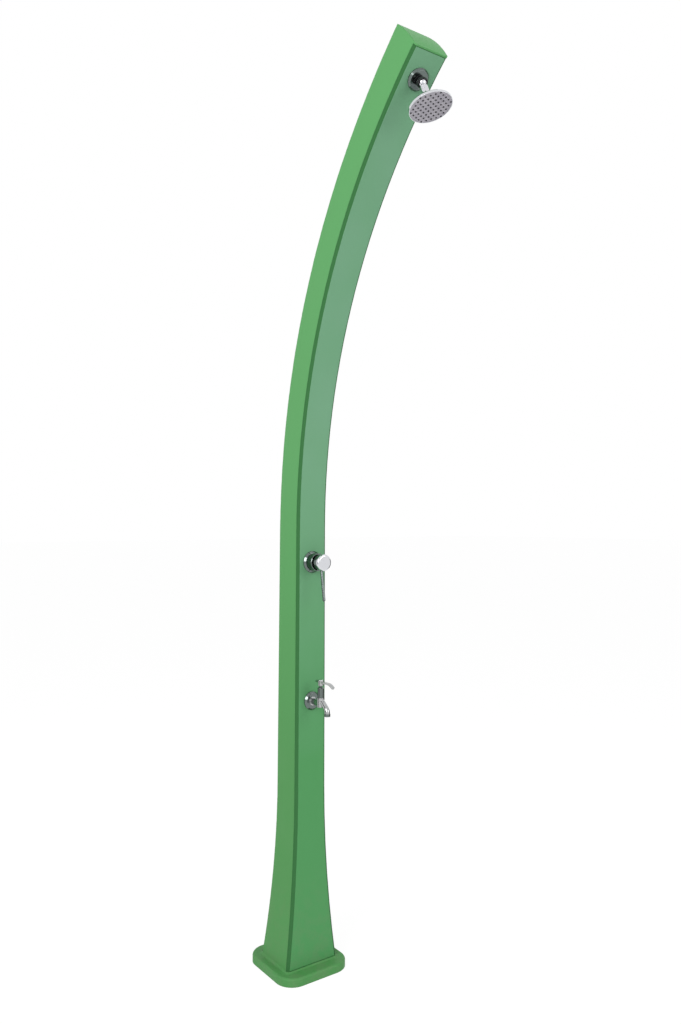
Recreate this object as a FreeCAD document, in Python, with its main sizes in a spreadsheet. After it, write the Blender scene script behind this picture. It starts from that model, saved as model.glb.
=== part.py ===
import FreeCAD, Part
import Sketcher
import math
import os
from types import SimpleNamespace

# Outdoor shower post: a hollow moulded plastic column that stands straight on a flared foot and
# bends forward over the bather, with a mixer, a foot-wash tap and a shower head on its front panel.
# Millimetres. +Z is up, the front faces -Y and the origin is on the ground, under the straight part.

DRIVING = {
    # column outline
    "straight_height": 1038.0,      # ground to the start of the bend
    "front_bend_radius": 1459.0,    # front face of the bend
    "bend_spread": 38.0,            # how much flatter the back is than a parallel bend
    "lean_angle": 47.9,             # angle of the bend where the front face ends
    "end_slant": 3.5,               # how far the end face leans from square
    "end_arch_radius": 280.0,       # the end face is arched from front to back
    "column_width": 87.5,
    "column_depth": 94.5,           # from the panel's face to the back
    "column_forward": 4.2,          # the column stands this far ahead of the flange's middle
    "widening_radius": 92000.0,     # the flanks open very slightly along the bend
    "wall": 4.0,
    "back_round": 12.0,
    "front_round": 7.0,
    # flared foot and its flange
    "flare_height": 396.0,          # from the flange's top to where the flare dies out
    "flare_side": 27.0,
    "flare_front": 10.0,
    "flare_back": 18.5,
    "flange_width": 185.5,
    "flange_length": 188.5,
    "flange_height": 18.0,
    "flange_corner": 44.0,
    "flange_round": 5.0,
    "foot_blend": 6.0,
    # front panel, the column's set-back lips beside it and the ledge that it stands on
    "lip_drop": 8.0,                # from the panel's face back to the lips
    "border_top": 3.5,
    "border_foot": 2.5,
    "panel_inset": 6.4,             # from the flank's line in to the panel's edge
    "panel_thickness": 4.0,
    "panel_gap": 1.5,
    "panel_edge": 0.8,
    "seal_inset": 0.6,              # from the flank's line in to the seal
    "seal_sunk": 0.3,
    "seal_bevel": 5.4,
    "seal_end": 0.2,
    "skirt_inset": 12.5,
    "skirt_wall": 3.0,
    "ledge_inset": 17.0,            # from the flank's line in to the opening's edge
    "hook_thickness": 2.5,
    "hook_height": 14.0,
    "hook_reach": 1.5,
    "hook_play": 0.3,
    # ground plate and the two screws that hold the foot to it
    "ground_plate_width": 164.0,
    "ground_plate_length": 166.0,
    "ground_plate_thickness": 6.0,
    "ground_plate_corner": 36.0,
    "anchor_hole": 4.5,
    "anchor_spacing": 124.0,
    "tab_width": 90.0,
    "tab_height": 62.0,
    "tab_thickness": 4.0,
    "foot_screw_height": 46.0,
    "foot_screw_spacing": 60.0,
    "foot_screw_radius": 3.0,
    "screw_head_radius": 5.6,
    "screw_head_height": 3.2,
    "screw_play": 0.3,
    # water inlets at the back of the foot
    "inlet_height": 105.0,
    "inlet_spacing": 46.0,
    "inlet_thread": 13.2,
    "inlet_thread_length": 14.0,
    "inlet_bore": 7.0,
    "inlet_collar": 16.0,
    "boss_radius": 19.0,
    "boss_proud": 1.6,
    # water fittings: half-inch shanks, nuts, hoses
    "shank_radius": 10.4,
    "shank_play": 0.4,
    "nut_radius": 15.5,
    "nut_height": 7.0,
    "washer_thickness": 1.0,
    "rosette_radius": 27.0,
    "rosette_height": 6.0,
    "rosette_edge": 1.5,
    "waterway": 5.0,
    "hose_radius": 6.0,
    "hose_nut_radius": 9.0,
    "hose_nut_length": 14.0,
    "lane_depth": 30.0,             # hoses run this far behind the panel's inner face
    "port_length": 10.0,
    "socket_depth": 6.0,            # how far a shank goes into its manifold, tee or elbow
    # mixer
    "mixer_below_bend": 80.0,
    "mixer_shank_radius": 13.5,
    "mixer_body_radius": 22.0,
    "mixer_body_length": 29.0,
    "cartridge_radius": 17.3,
    "cartridge_length": 13.5,
    "cartridge_boss": 10.8,
    "cartridge_ball": 6.0,
    "stem_radius": 4.5,
    "dome_radius": 15.0,
    "dome_wall": 1.8,
    "dome_mouth": 10.8,
    "sleeve_radius": 19.0,
    "sleeve_length": 12.5,
    "sleeve_gap": 8.0,
    "sleeve_wall": 2.8,
    "web_thickness": 3.0,
    "cap_radius": 20.5,
    "cap_length": 8.0,
    "cap_edge_round": 5.0,
    "lever_radius": 3.5,
    "lever_length": 78.0,
    "lever_slant": 9.0,
    "port_spacing": 32.0,
    "manifold_width": 50.0,
    "manifold_height": 40.0,
    "manifold_depth": 26.0,
    # foot-wash tap
    "tap_below_mixer": 338.5,
    "tap_rosette_radius": 22.0,
    "tap_reach": 40.5,              # panel to the tap's upright axis
    "tap_neck_radius": 8.0,
    "tap_chamber_radius": 9.5,
    "tap_chamber_low": 8.4,
    "tap_chamber_high": 13.5,
    "tap_chamber_bore": 6.5,
    "bonnet_radius": 8.0,
    "bonnet_height": 25.0,
    "spindle_radius": 3.5,
    "valve_disc_radius": 5.5,
    "hub_radius": 7.0,
    "hub_height": 12.5,
    "handle_height": 50.5,
    "handle_width": 8.0,
    "handle_thickness": 4.0,
    "handle_arm": 54.0,
    "handle_tail": 20.0,
    "handle_droop_radius": 40.0,
    "handle_droop": 38.0,
    "spout_radius": 6.5,
    "spout_above_axis": 6.0,
    "spout_slope": 37.0,
    "spout_run": 21.5,
    "spout_bend": 16.0,
    "spout_tip_radius": 7.5,
    "spout_tip_length": 6.0,
    "tee_height": 44.0,
    "tee_radius": 13.5,
    # shower head
    "head_angle": 45.2,             # where it sits on the bend
    "ball_radius": 10.0,
    "ball_out": 20.5,               # ball centre from the panel
    "ball_play": 0.3,
    "ball_neck": 7.5,
    "ball_bore": 3.0,
    "seat_thickness": 1.0,
    "seat_back": 9.0,               # the seat ring runs between these, behind the ball's centre
    "seat_front": 5.0,
    "housing_radius": 13.5,         # outside of the ball's housing
    "housing_mouth": 4.3,           # the housing ends this far before the ball's centre
    "neck_radius": 5.5,
    "collar_radius": 9.5,
    "collar_start": 12.0,           # from the ball's centre
    "collar_end": 22.0,
    "elbow_radius": 14.0,
    "head_throat_radius": 9.5,
    "head_throat_end": 25.5,        # ball centre to where the shell starts to flare
    "head_drop": 73.0,              # ball centre to spray face
    "head_radius": 51.5,
    "head_pitch": 18.4,             # forward of straight down, as stored
    "head_roll": 4.0,              # to the right of straight down, as stored
    "head_wall": 1.6,
    "head_rim": 5.0,
    "spray_plate_thickness": 4.0,
    "nozzle_radius": 1.6,
    "nozzle_height": 2.5,
    "nozzle_ring_step": 10.5,
}

RINGS_OF_NOZZLES = 4
OVERRUN_ANGLE = 4                   # forms are drawn this far past the end face, then trimmed
ARCH_REST = 15    # degrees of a half circle that the end face's arc leaves out on each side
PLAY = 0.1                          # radial gap between still pieces that slide together
SLIP = 0.05                         # radial gap of a turning fit


class Size:
    """A length or angle that keeps both its number and the expression that ties it to the sheet."""

    def __init__(self, value, text):
        self.value = value
        self.text = text

    def __add__(self, other):
        other = size(other)
        return Size(self.value + other.value, f"({self.text} + {other.text})")

    def __sub__(self, other):
        other = size(other)
        return Size(self.value - other.value, f"({self.text} - {other.text})")

    def __mul__(self, other):
        other = size(other)
        return Size(self.value * other.value, f"({self.text} * {other.text})")

    def __truediv__(self, other):
        other = size(other)
        return Size(self.value / other.value, f"({self.text} / {other.text})")

    def __neg__(self):
        return Size(-self.value, f"(0 - {self.text})")

    def __radd__(self, other):
        return size(other) + self

    def __rsub__(self, other):
        return size(other) - self

    def __rmul__(self, other):
        return size(other) * self


def size(x):
    return x if isinstance(x, Size) else Size(float(x), f"({x})")


def root(x):
    return Size(math.sqrt(x.value), f"sqrt({x.text})")


def sine(angle):
    return Size(math.sin(math.radians(angle.value)), f"sin({angle.text})")


def cosine(angle):
    return Size(math.cos(math.radians(angle.value)), f"cos({angle.text})")


def arc_cosine(x):
    return Size(math.degrees(math.acos(x.value)), f"(acos({x.text}) / 1 deg)")


ZERO = size(0)
doc = FreeCAD.newDocument("outdoor_shower_post")
sheet = doc.addObject("Spreadsheet::Sheet", "sizes")
for row, (alias, number) in enumerate(DRIVING.items(), start=1):
    sheet.set(f"A{row}", alias)
    sheet.set(f"B{row}", str(number))
    sheet.setAlias(f"B{row}", alias)
doc.recompute()
d = SimpleNamespace(**{alias: Size(number, f"sizes.{alias}") for alias, number in DRIVING.items()})


# ---------------------------------------------------------------- places worked out from the sheet

front_y = -d.column_depth / 2 - d.column_forward
back_y = d.column_depth / 2 - d.column_forward
back_bend_radius = d.front_bend_radius + d.column_depth + d.bend_spread
front_centre_y = front_y - d.front_bend_radius
back_centre_y = back_y - back_bend_radius
flare_top = d.flange_height + d.flare_height
ledge_depth = d.lip_drop + d.wall
lane_out = -d.panel_thickness - d.lane_depth
lane_y = front_y - lane_out
mixer_z = d.straight_height - d.mixer_below_bend
tap_z = mixer_z - d.tap_below_mixer


def flare_radius(spread):
    """Radius of the arc that leaves the upright tangentially and stands out by spread at the flange."""
    return (d.flare_height * d.flare_height + spread * spread) / (2 * spread)


def flare_at(spread, z):
    """How far the flared foot stands out at height z."""
    radius = flare_radius(spread)
    rise = flare_top - z
    return radius - root(radius * radius - rise * rise)


side_flare_radius = flare_radius(d.flare_side)
front_flare_radius = flare_radius(d.flare_front)
back_flare_radius = flare_radius(d.flare_back)


def half_width(z):
    """Half the column's width at height z in the bend."""
    rise = z - d.straight_height
    return d.column_width / 2 + d.widening_radius - root(d.widening_radius * d.widening_radius - rise * rise)


# ---------------------------------------------------------------- sketches, bodies and placements


def bind(item, prop, value):
    item.setExpression(prop, value.text)


def pin_point(sketch, edge, end, x, y):
    """Holds one end of an edge at x, y with dimensions tied to the sheet."""
    for kind, axis, value in (("DistanceX", -2, x), ("DistanceY", -1, y)):
        if abs(value.value) < 1e-9:
            sketch.addConstraint(Sketcher.Constraint("PointOnObject", edge, end, axis))
        else:
            index = sketch.addConstraint(Sketcher.Constraint(kind, -1, 1, edge, end, value.value))
            bind(sketch, f"Constraints[{index}]", value)


def draw_edge(sketch, start, end, bend):
    """Adds a line, or an arc where bend gives (radius, centre x, centre y, +1 for anticlockwise)."""
    if bend is None:
        points = [FreeCAD.Vector(p[0].value, p[1].value, 0) for p in (start, end)]
        return sketch.addGeometry(Part.LineSegment(*points), False), 1, 2
    radius, centre_x, centre_y, turn = bend
    first, last = (start, end) if turn > 0 else (end, start)
    a0, a1 = [math.atan2(p[1].value - centre_y.value, p[0].value - centre_x.value) for p in (first, last)]
    centre = FreeCAD.Vector(centre_x.value, centre_y.value, 0)
    circle = Part.Circle(centre, FreeCAD.Vector(0, 0, 1), radius.value)
    edge = sketch.addGeometry(Part.ArcOfCircle(circle, a0, a1 if a1 > a0 else a1 + 2 * math.pi), False)
    index = sketch.addConstraint(Sketcher.Constraint("Radius", edge, radius.value))
    bind(sketch, f"Constraints[{index}]", radius)
    return (edge, 1, 2) if turn > 0 else (edge, 2, 1)


def outline(sketch, corners):
    """Draws one closed outline. A corner is (x, y) or (x, y, bend of the edge that leaves it)."""
    corners = [(size(c[0]), size(c[1]), c[2] if len(c) > 2 else None) for c in corners]
    edges = []
    for corner, following in zip(corners, corners[1:] + corners[:1]):
        edges.append(draw_edge(sketch, corner[:2], following[:2], corner[2]))
    for (edge, _, end), (after, begin, _) in zip(edges, edges[1:] + edges[:1]):
        sketch.addConstraint(Sketcher.Constraint("Coincident", edge, end, after, begin))
    for (edge, begin, _), corner in zip(edges, corners):
        pin_point(sketch, edge, begin, corner[0], corner[1])


def sketch_on(body, role):
    sketch = body.newObject("Sketcher::SketchObject", f"{body.Name}_sketch")
    plane = [o for o in body.Origin.OriginFeatures if o.Role == role][0]
    sketch.AttachmentSupport = (plane, [""])
    sketch.MapMode = "FlatFace"
    return sketch


def new_body(label):
    body = doc.addObject("PartDesign::Body", label)
    body.Label = label
    return body


def pad(body, sketch, length, symmetric=False):
    feature = body.newObject("PartDesign::Pad", f"{body.Name}_pad")
    feature.Profile = sketch
    feature.SideType = "Symmetric" if symmetric else "One side"
    bind(feature, "Length", length)
    return feature


def pocket_through(body, sketch):
    feature = body.newObject("PartDesign::Pocket", f"{body.Name}_pocket")
    feature.Profile = sketch
    feature.SideType = "Symmetric"
    feature.Type = "ThroughAll"
    return feature


def round_edges(body, radius, wanted):
    """Fillets the edges of the body's last feature that wanted(edge) picks."""
    doc.recompute()
    base = body.Tip
    names = [f"Edge{i}" for i, edge in enumerate(base.Shape.Edges, start=1) if wanted(edge)]
    fillet = body.newObject("PartDesign::Fillet", f"{body.Name}_round")
    fillet.Base = (base, names)
    bind(fillet, "Radius", radius)
    return fillet


def bevel_edges(body, size_of_bevel, wanted):
    """Chamfers the edges of the body's last feature that wanted(edge) picks."""
    doc.recompute()
    base = body.Tip
    names = [f"Edge{i}" for i, edge in enumerate(base.Shape.Edges, start=1) if wanted(edge)]
    chamfer = body.newObject("PartDesign::Chamfer", f"{body.Name}_bevel")
    chamfer.Base = (base, names)
    bind(chamfer, "Size", size_of_bevel)
    return chamfer


def middle(edge):
    return edge.valueAt((edge.FirstParameter + edge.LastParameter) / 2)


class Frame:
    """A local frame turned about X: a fitting is built along local +Z and then put here."""

    def __init__(self, x, y, z, angle, axis=(size(1), ZERO)):
        self.origin = (size(x), size(y), size(z))
        self.angle = size(angle)
        self.axis = axis

    def shifted(self, x, y, z):
        """The same frame moved along its own axes; only for a frame that is turned about X."""
        a, b = cosine(self.angle), sine(self.angle)
        base_x, base_y, base_z = self.origin
        return Frame(base_x + x, base_y + a * y - b * z, base_z + b * y + a * z, self.angle)

    def turned_by(self, angle):
        return Frame(*self.origin, self.angle + angle)

    def place(self, item):
        axis = FreeCAD.Vector(self.axis[0].value, self.axis[1].value, 0)
        origin = FreeCAD.Vector(*[c.value for c in self.origin])
        item.Placement = FreeCAD.Placement(origin, FreeCAD.Rotation(axis, self.angle.value))
        for name, value in zip("xyz", self.origin):
            bind(item, f"Placement.Base.{name}", value)
        for name, value in zip("xy", self.axis):
            bind(item, f"Placement.Rotation.Axis.{name}", value)
        item.setExpression("Placement.Rotation.Axis.z", "0")
        bind(item, "Placement.Rotation.Angle", self.angle)
        return item


WORLD = Frame(0, 0, 0, 0)


def turned(label, corners, frame=WORLD):
    """A turned piece: the outline is (radius, height) and turns about local Z."""
    body = new_body(label)
    sketch = sketch_on(body, "XZ_Plane")
    outline(sketch, corners)
    feature = body.newObject("PartDesign::Revolution", f"{label}_turn")
    feature.Profile = sketch
    feature.ReferenceAxis = (sketch, ["V_Axis"])
    feature.Angle = 360
    return frame.place(body)


def cylinder(label, radius, low, high, frame=WORLD, x=0, y=0):
    item = doc.addObject("Part::Cylinder", label)
    bind(item, "Radius", size(radius))
    bind(item, "Height", size(high) - low)
    return frame.shifted(size(x), size(y), size(low)).place(item)


def box(label, low, high, frame=WORLD):
    item = doc.addObject("Part::Box", label)
    for name, a, b in zip(("Length", "Width", "Height"), low, high):
        bind(item, name, size(b) - a)
    return frame.shifted(*[size(a) for a in low]).place(item)


def cut(label, base, tool):
    item = doc.addObject("Part::Cut", label)
    item.Base = base
    item.Tool = tool
    item.Label = label
    return item


def fuse(label, pieces):
    item = doc.addObject("Part::MultiFuse", label)
    item.Shapes = pieces
    item.Label = label
    return item


def group(label, pieces):
    """Separate like pieces that share one node."""
    item = doc.addObject("Part::Compound", label)
    item.Links = pieces
    item.Label = label
    return item


NODES = []


def node(item):
    """Marks a finished piece: its label names its file."""
    NODES.append(item)
    return item


# ---------------------------------------------------------------- the column and its front panel


def flank_outline(sketch, side, inset, low, top, out):
    """The region beyond one flank of the column, from the flank's line out to x = out."""
    radius = side_flare_radius
    foot = d.column_width / 2 - inset
    wide = d.widening_radius
    rise = top - d.straight_height
    sweep = flare_top - low
    foot_x = foot + radius - root(radius * radius - sweep * sweep)
    top_x = foot + wide - root(wide * wide - rise * rise)
    corners = [
        (side * foot_x, low, (radius, side * (foot + radius), flare_top, -side)),
        (side * foot, flare_top),
        (side * foot, d.straight_height, (wide, side * (foot + wide), d.straight_height, -side)),
        (side * top_x, top),
        (side * out, top),
        (side * out, low),
    ]
    outline(sketch, corners)


def side_outline(sketch, front, back, low, lean):
    """The column seen from its left: front and back are the insets from its front and back faces.
    With back given as (depth,) the outline is a band that ends at that depth behind the front face."""
    front_flare = front_flare_radius + front
    front_bend = d.front_bend_radius + front
    f_y = front_y + front
    sweep = flare_top - low
    foot_front = f_y - front_flare + root(front_flare * front_flare - sweep * sweep)
    top_front = (front_centre_y + front_bend * cosine(lean), d.straight_height + front_bend * sine(lean))
    if isinstance(back, tuple):
        depth = back[0]
        back_flare = front_flare_radius + depth
        back_bend = d.front_bend_radius + depth
        b_y = front_y + depth
        foot_back = b_y - back_flare + root(back_flare * back_flare - sweep * sweep)
        flare = (back_flare, b_y - back_flare, flare_top, -1)
        bend = (back_bend, front_centre_y, d.straight_height, -1)
        top_back = (front_centre_y + back_bend * cosine(lean), d.straight_height + back_bend * sine(lean))
    else:
        back_flare = back_flare_radius + back
        back_bend = back_bend_radius - back
        b_y = back_y - back
        foot_back = b_y + back_flare - root(back_flare * back_flare - sweep * sweep)
        flare = (back_flare, b_y + back_flare, flare_top, 1)
        bend = (back_bend, back_centre_y, d.straight_height, -1)
        top_back = (back_centre_y + back_bend * cosine(lean), d.straight_height + back_bend * sine(lean))
    outline(sketch, [
        (foot_front, low, (front_flare, f_y - front_flare, flare_top, 1)),
        (f_y, flare_top),
        (f_y, d.straight_height, (front_bend, front_centre_y, d.straight_height, 1)),
        (top_front[0], top_front[1]),
        (top_back[0], top_back[1], bend),
        (b_y, d.straight_height),
        (b_y, flare_top, flare),
        (foot_back, low),
    ])


def end_arch(inset):
    """The arched end face, moved in by inset: its centre, its radius and the slope of its chord."""
    slope = d.lean_angle + d.end_slant
    half_chord = (d.column_depth + d.bend_spread * (1 - cosine(d.lean_angle))) / 2
    below = root(d.end_arch_radius * d.end_arch_radius - half_chord * half_chord)
    front_y_end = front_centre_y + d.front_bend_radius * cosine(d.lean_angle)
    front_z_end = d.straight_height + d.front_bend_radius * sine(d.lean_angle)
    y = front_y_end + half_chord * cosine(slope) + below * sine(slope)
    z = front_z_end + half_chord * sine(slope) - below * cosine(slope)
    return y, z, d.end_arch_radius - inset, slope


def column_form(label, front, back, side, end, low):
    """A solid that follows the column's outline, moved in by the insets given."""
    body = new_body(label)
    lean = d.lean_angle + OVERRUN_ANGLE
    sketch = sketch_on(body, "YZ_Plane")
    side_outline(sketch, size(front), back if isinstance(back, tuple) else size(back), size(low), lean)
    pad(body, sketch, 4 * d.column_width, symmetric=True)
    out = 3 * d.column_width
    top = d.straight_height + 1.2 * d.front_bend_radius
    for flank in (1, -1):
        sketch = sketch_on(body, "XZ_Plane")
        flank_outline(sketch, flank, size(side), size(low) - 2, top, out)
        pocket_through(body, sketch)
    y, z, radius, slope = end_arch(size(end))
    reach = 4 * d.column_depth
    sketch = sketch_on(body, "YZ_Plane")
    a = (y - radius * cosine(slope - ARCH_REST), z - radius * sine(slope - ARCH_REST))
    b = (y + radius * cosine(slope + ARCH_REST), z + radius * sine(slope + ARCH_REST))
    rise = (-reach * sine(slope), reach * cosine(slope))
    outline(sketch, [
        (b[0], b[1], (radius, y, z, 1)),
        a,
        (a[0] + rise[0], a[1] + rise[1]),
        (b[0] + rise[0], b[1] + rise[1]),
    ])
    pocket_through(body, sketch)
    return body


def behind_front(point):
    """How far a point lies behind the column's front face."""
    if point.z > DRIVING["straight_height"]:
        from_centre = math.hypot(point.y - front_centre_y.value, point.z - DRIVING["straight_height"])
        return from_centre - DRIVING["front_bend_radius"]
    flared = flare_at(d.flare_front, min(point.z, flare_top.value)).value
    return point.y - front_y.value + flared


def long_edge(front, split=d.column_depth / 2):
    """Picks the long corner edges of a form, in front of or behind this depth."""
    def wanted(edge):
        run = edge.valueAt(edge.LastParameter) - edge.valueAt(edge.FirstParameter)
        if edge.Length < DRIVING["column_depth"] * 2 or abs(run.x) > 0.6 * run.Length:
            return False
        return (behind_front(middle(edge)) < split.value) == front
    return wanted


def foot_flange(label, inset, low, high):
    """The rounded square flange of the foot, or the hollow under it when moved in by inset."""
    body = new_body(label)
    sketch = sketch_on(body, "XY_Plane")
    half_x = d.flange_width / 2 - inset
    half_y = d.flange_length / 2 - inset
    rounded_rectangle(sketch, half_x, half_y, d.flange_corner - inset)
    pad(body, sketch, size(high) - low)
    bind(body, "Placement.Base.z", size(low))
    return body


def rounded_rectangle(sketch, half_x, half_y, r):
    outline(sketch, [
        (half_x, r - half_y),
        (half_x, half_y - r, (r, half_x - r, half_y - r, 1)),
        (half_x - r, half_y),
        (r - half_x, half_y, (r, r - half_x, half_y - r, 1)),
        (-half_x, half_y - r),
        (-half_x, r - half_y, (r, r - half_x, r - half_y, 1)),
        (r - half_x, -half_y),
        (half_x - r, -half_y, (r, half_x - r, r - half_y, 1)),
    ])


outer = column_form("column_outer", 0, 0, 0, 0, d.flange_height / 2)
round_edges(outer, d.back_round, long_edge(front=False))
round_edges(outer, d.front_round, long_edge(front=True))
flange_sketch = sketch_on(outer, "XY_Plane")
rounded_rectangle(flange_sketch, d.flange_width / 2, d.flange_length / 2, d.flange_corner)
pad(outer, flange_sketch, d.flange_height)


def at_flange_top(near_column):
    """Picks the edges on the flange's top: where the column rises from it, or its outer rim."""
    def wanted(edge):
        m = middle(edge)
        level = abs(m.z - DRIVING["flange_height"]) < 0.01 and abs(edge.Vertexes[0].Z - m.z) < 0.01
        reach_x = abs(m.x) / (DRIVING["flange_width"] / 2)
        reach_y = abs(m.y) / (DRIVING["flange_length"] / 2)
        on_rim = max(reach_x, reach_y) > 0.99 or reach_x + reach_y > 1.55
        return level and on_rim != near_column
    return wanted


round_edges(outer, d.foot_blend, at_flange_top(near_column=True))
round_edges(outer, d.flange_round, at_flange_top(near_column=False))

recess_foot = d.flange_height + d.border_foot


def front_band(label, front, depth, side, margin):
    """A band behind the front face, moved in by side from the flanks and by margin at its two ends."""
    return column_form(label, front, (size(depth),), side, d.border_top + margin, recess_foot + margin)


inner = column_form("cavity_form", ledge_depth, d.wall, d.wall, d.wall, -1)
round_edges(inner, d.back_round - d.wall, long_edge(front=False))
setback = front_band("lip_setback", -d.lip_drop, d.lip_drop, -d.column_width, 0)
opening_end = d.ledge_inset - d.panel_inset
access = front_band("access", 1, ledge_depth + 1, d.ledge_inset, opening_end)
hollow = foot_flange("flange_hollow", d.flange_round, -1, d.flange_height - d.flange_round)


def back_wall_y(z):
    return back_y + flare_at(d.flare_back, z)


inlet_seat = back_wall_y(d.inlet_height) + d.boss_proud
inlet_inside = inlet_seat - d.wall - 2 * d.boss_proud
screw_seat = back_wall_y(d.foot_screw_height) + d.boss_proud
screw_inside = screw_seat - d.wall - 2 * d.boss_proud
SIDES = (("cold", -1), ("hot", 1))
inlet_frames = {name: Frame(side * d.inlet_spacing / 2, inlet_seat, d.inlet_height, -90) for name, side in SIDES}
screw_frames = [Frame(side * d.foot_screw_spacing / 2, screw_seat, d.foot_screw_height, -90) for side in (-1, 1)]
inlet_wall = inlet_seat - inlet_inside
screw_wall = screw_seat - screw_inside

bosses = [cylinder(f"{name}_boss", d.boss_radius, -inlet_wall, ZERO, frame=frame)
          for name, frame in inlet_frames.items()]
bosses += [cylinder(f"screw_boss_{i}", d.screw_head_radius + 3, -screw_wall, ZERO, frame=frame)
           for i, frame in enumerate(screw_frames)]
holes = [cylinder(f"{name}_inlet_hole", d.shank_radius + d.shank_play, -inlet_wall - 1, d.boss_proud + 1, frame=frame)
         for name, frame in inlet_frames.items()]
holes += [cylinder(f"screw_hole_{i}", d.foot_screw_radius + d.screw_play, -screw_wall - 1, size(1), frame=frame)
          for i, frame in enumerate(screw_frames)]
walls = cut("column_walls", outer, fuse("column_hollows", [inner, setback, access, hollow]))
node(cut("column_shell", fuse("column_with_bosses", [walls] + bosses), fuse("column_holes", holes)))

# The panel's skirt stands on the ledge between the lips, so the panel's face stands proud of them
# with a dark channel all along. Moulded hooks behind it spring out under the ledge.
mixer_frame = Frame(0, front_y, mixer_z, 90)
tap_frame = Frame(0, front_y, tap_z, 90)


def face_frame(radius, centre_z, angle):
    """On the panel's outer face, at this angle up one of the front face's two arcs."""
    angle = size(angle)
    y = front_y - radius + radius * cosine(angle)
    return Frame(0, y, centre_z + radius * sine(angle), 90 + angle)


def hook_pair(name, frame, half_opening):
    """Two hooks at the sides of the opening behind the panel, with local +Z out of the panel."""
    pieces = []
    root_z = -d.panel_thickness / 2
    under = -ledge_depth - d.hook_play
    deep = under - d.hook_thickness
    tall = d.hook_height / 2
    for side in (1, -1):
        out = half_opening - d.hook_play
        near, far = (out - d.hook_thickness, out) if side > 0 else (-out, d.hook_thickness - out)
        pieces.append(box(f"{name}_leg", (near, -tall, deep), (far, tall, root_z), frame))
        tip, end = (out, out + d.hook_reach) if side > 0 else (-out - d.hook_reach, -out)
        pieces.append(box(f"{name}_barb", (tip, -tall, deep), (end, tall, under), frame))
    return pieces


panel_plate = front_band("panel_plate", 0, d.panel_thickness, d.panel_inset, d.panel_gap)
round_edges(panel_plate, d.panel_edge, long_edge(front=True, split=d.panel_thickness / 2))
seal_block = front_band("seal_block", d.seal_sunk, d.lip_drop, d.seal_inset, d.seal_end)
bevel_edges(seal_block, d.seal_bevel, long_edge(front=True, split=d.lip_drop / 2))
seal_opening = front_band("seal_opening", -1, d.lip_drop + 1, d.panel_inset - PLAY, d.panel_gap - PLAY)
node(cut("panel_seal", seal_block, seal_opening))
skirt_end = d.skirt_inset - d.panel_inset
skirt_form = front_band("skirt_form", d.panel_thickness / 2, d.lip_drop, d.skirt_inset, skirt_end)
tray_inset = d.skirt_inset + d.skirt_wall
tray = front_band("panel_tray", d.panel_thickness, d.lip_drop + 1, tray_inset, skirt_end + d.skirt_wall)
straight_opening = d.column_width / 2 - d.ledge_inset
foot_frame = face_frame(front_flare_radius, flare_top, (arc_cosine(d.flare_height / front_flare_radius) - 90) / 2)
foot_opening = straight_opening + flare_at(d.flare_side, foot_frame.origin[2] + d.hook_height / 2)
hooks = hook_pair("foot_hook", foot_frame, foot_opening)
for i, share in enumerate((0.08, 0.4, 0.66, 0.97)):
    height = flare_top + share * (d.straight_height - flare_top)
    hooks += hook_pair(f"hook_{i}", Frame(0, front_y, height, 90), straight_opening)
for i, share in enumerate((0.2, 0.45, 0.7)):
    frame = face_frame(d.front_bend_radius, d.straight_height, share * d.lean_angle)
    hooks += hook_pair(f"bend_hook_{i}", frame, half_width(frame.origin[2] - d.hook_height / 2) - d.ledge_inset)
head_frame = face_frame(d.front_bend_radius, d.straight_height, d.head_angle)
panel_holes = [
    cylinder("mixer_hole", d.mixer_shank_radius + d.shank_play, -d.panel_thickness - 1, size(1), mixer_frame),
    cylinder("tap_hole", d.shank_radius + d.shank_play, -d.panel_thickness - 1, size(1), tap_frame),
    cylinder("head_hole", d.shank_radius + d.shank_play, -d.panel_thickness - 1, size(1), head_frame),
]
panel_form = cut("panel_form", fuse("plate_and_skirt", [panel_plate, skirt_form]), tray)
node(cut("front_panel", fuse("panel_with_hooks", [panel_form] + hooks), fuse("panel_holes", panel_holes)))


# ---------------------------------------------------------------- ground plate, screws and inlets


def hexagon(sketch, radius):
    steps = [60 * i for i in range(6)]
    outline(sketch, [(radius * math.cos(math.radians(a)), radius * math.sin(math.radians(a))) for a in steps])


def round_hole(sketch, radius):
    circle = Part.Circle(FreeCAD.Vector(), FreeCAD.Vector(0, 0, 1), radius.value)
    edge = sketch.addGeometry(circle, False)
    sketch.addConstraint(Sketcher.Constraint("Coincident", edge, 3, -1, 1))
    index = sketch.addConstraint(Sketcher.Constraint("Radius", edge, radius.value))
    bind(sketch, f"Constraints[{index}]", radius)


def hex_nut(label, radius, bore, low, high, frame):
    """A hexagon nut: radius is measured over its corners."""
    body = new_body(label)
    sketch = sketch_on(body, "XY_Plane")
    hexagon(sketch, size(radius))
    round_hole(sketch, size(bore))
    pad(body, sketch, size(high) - low)
    return frame.shifted(ZERO, ZERO, size(low)).place(body)


def washer(label, bore, radius, low, high, frame):
    return turned(label, [(bore, low), (radius, low), (radius, high), (bore, high)], frame)


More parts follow.
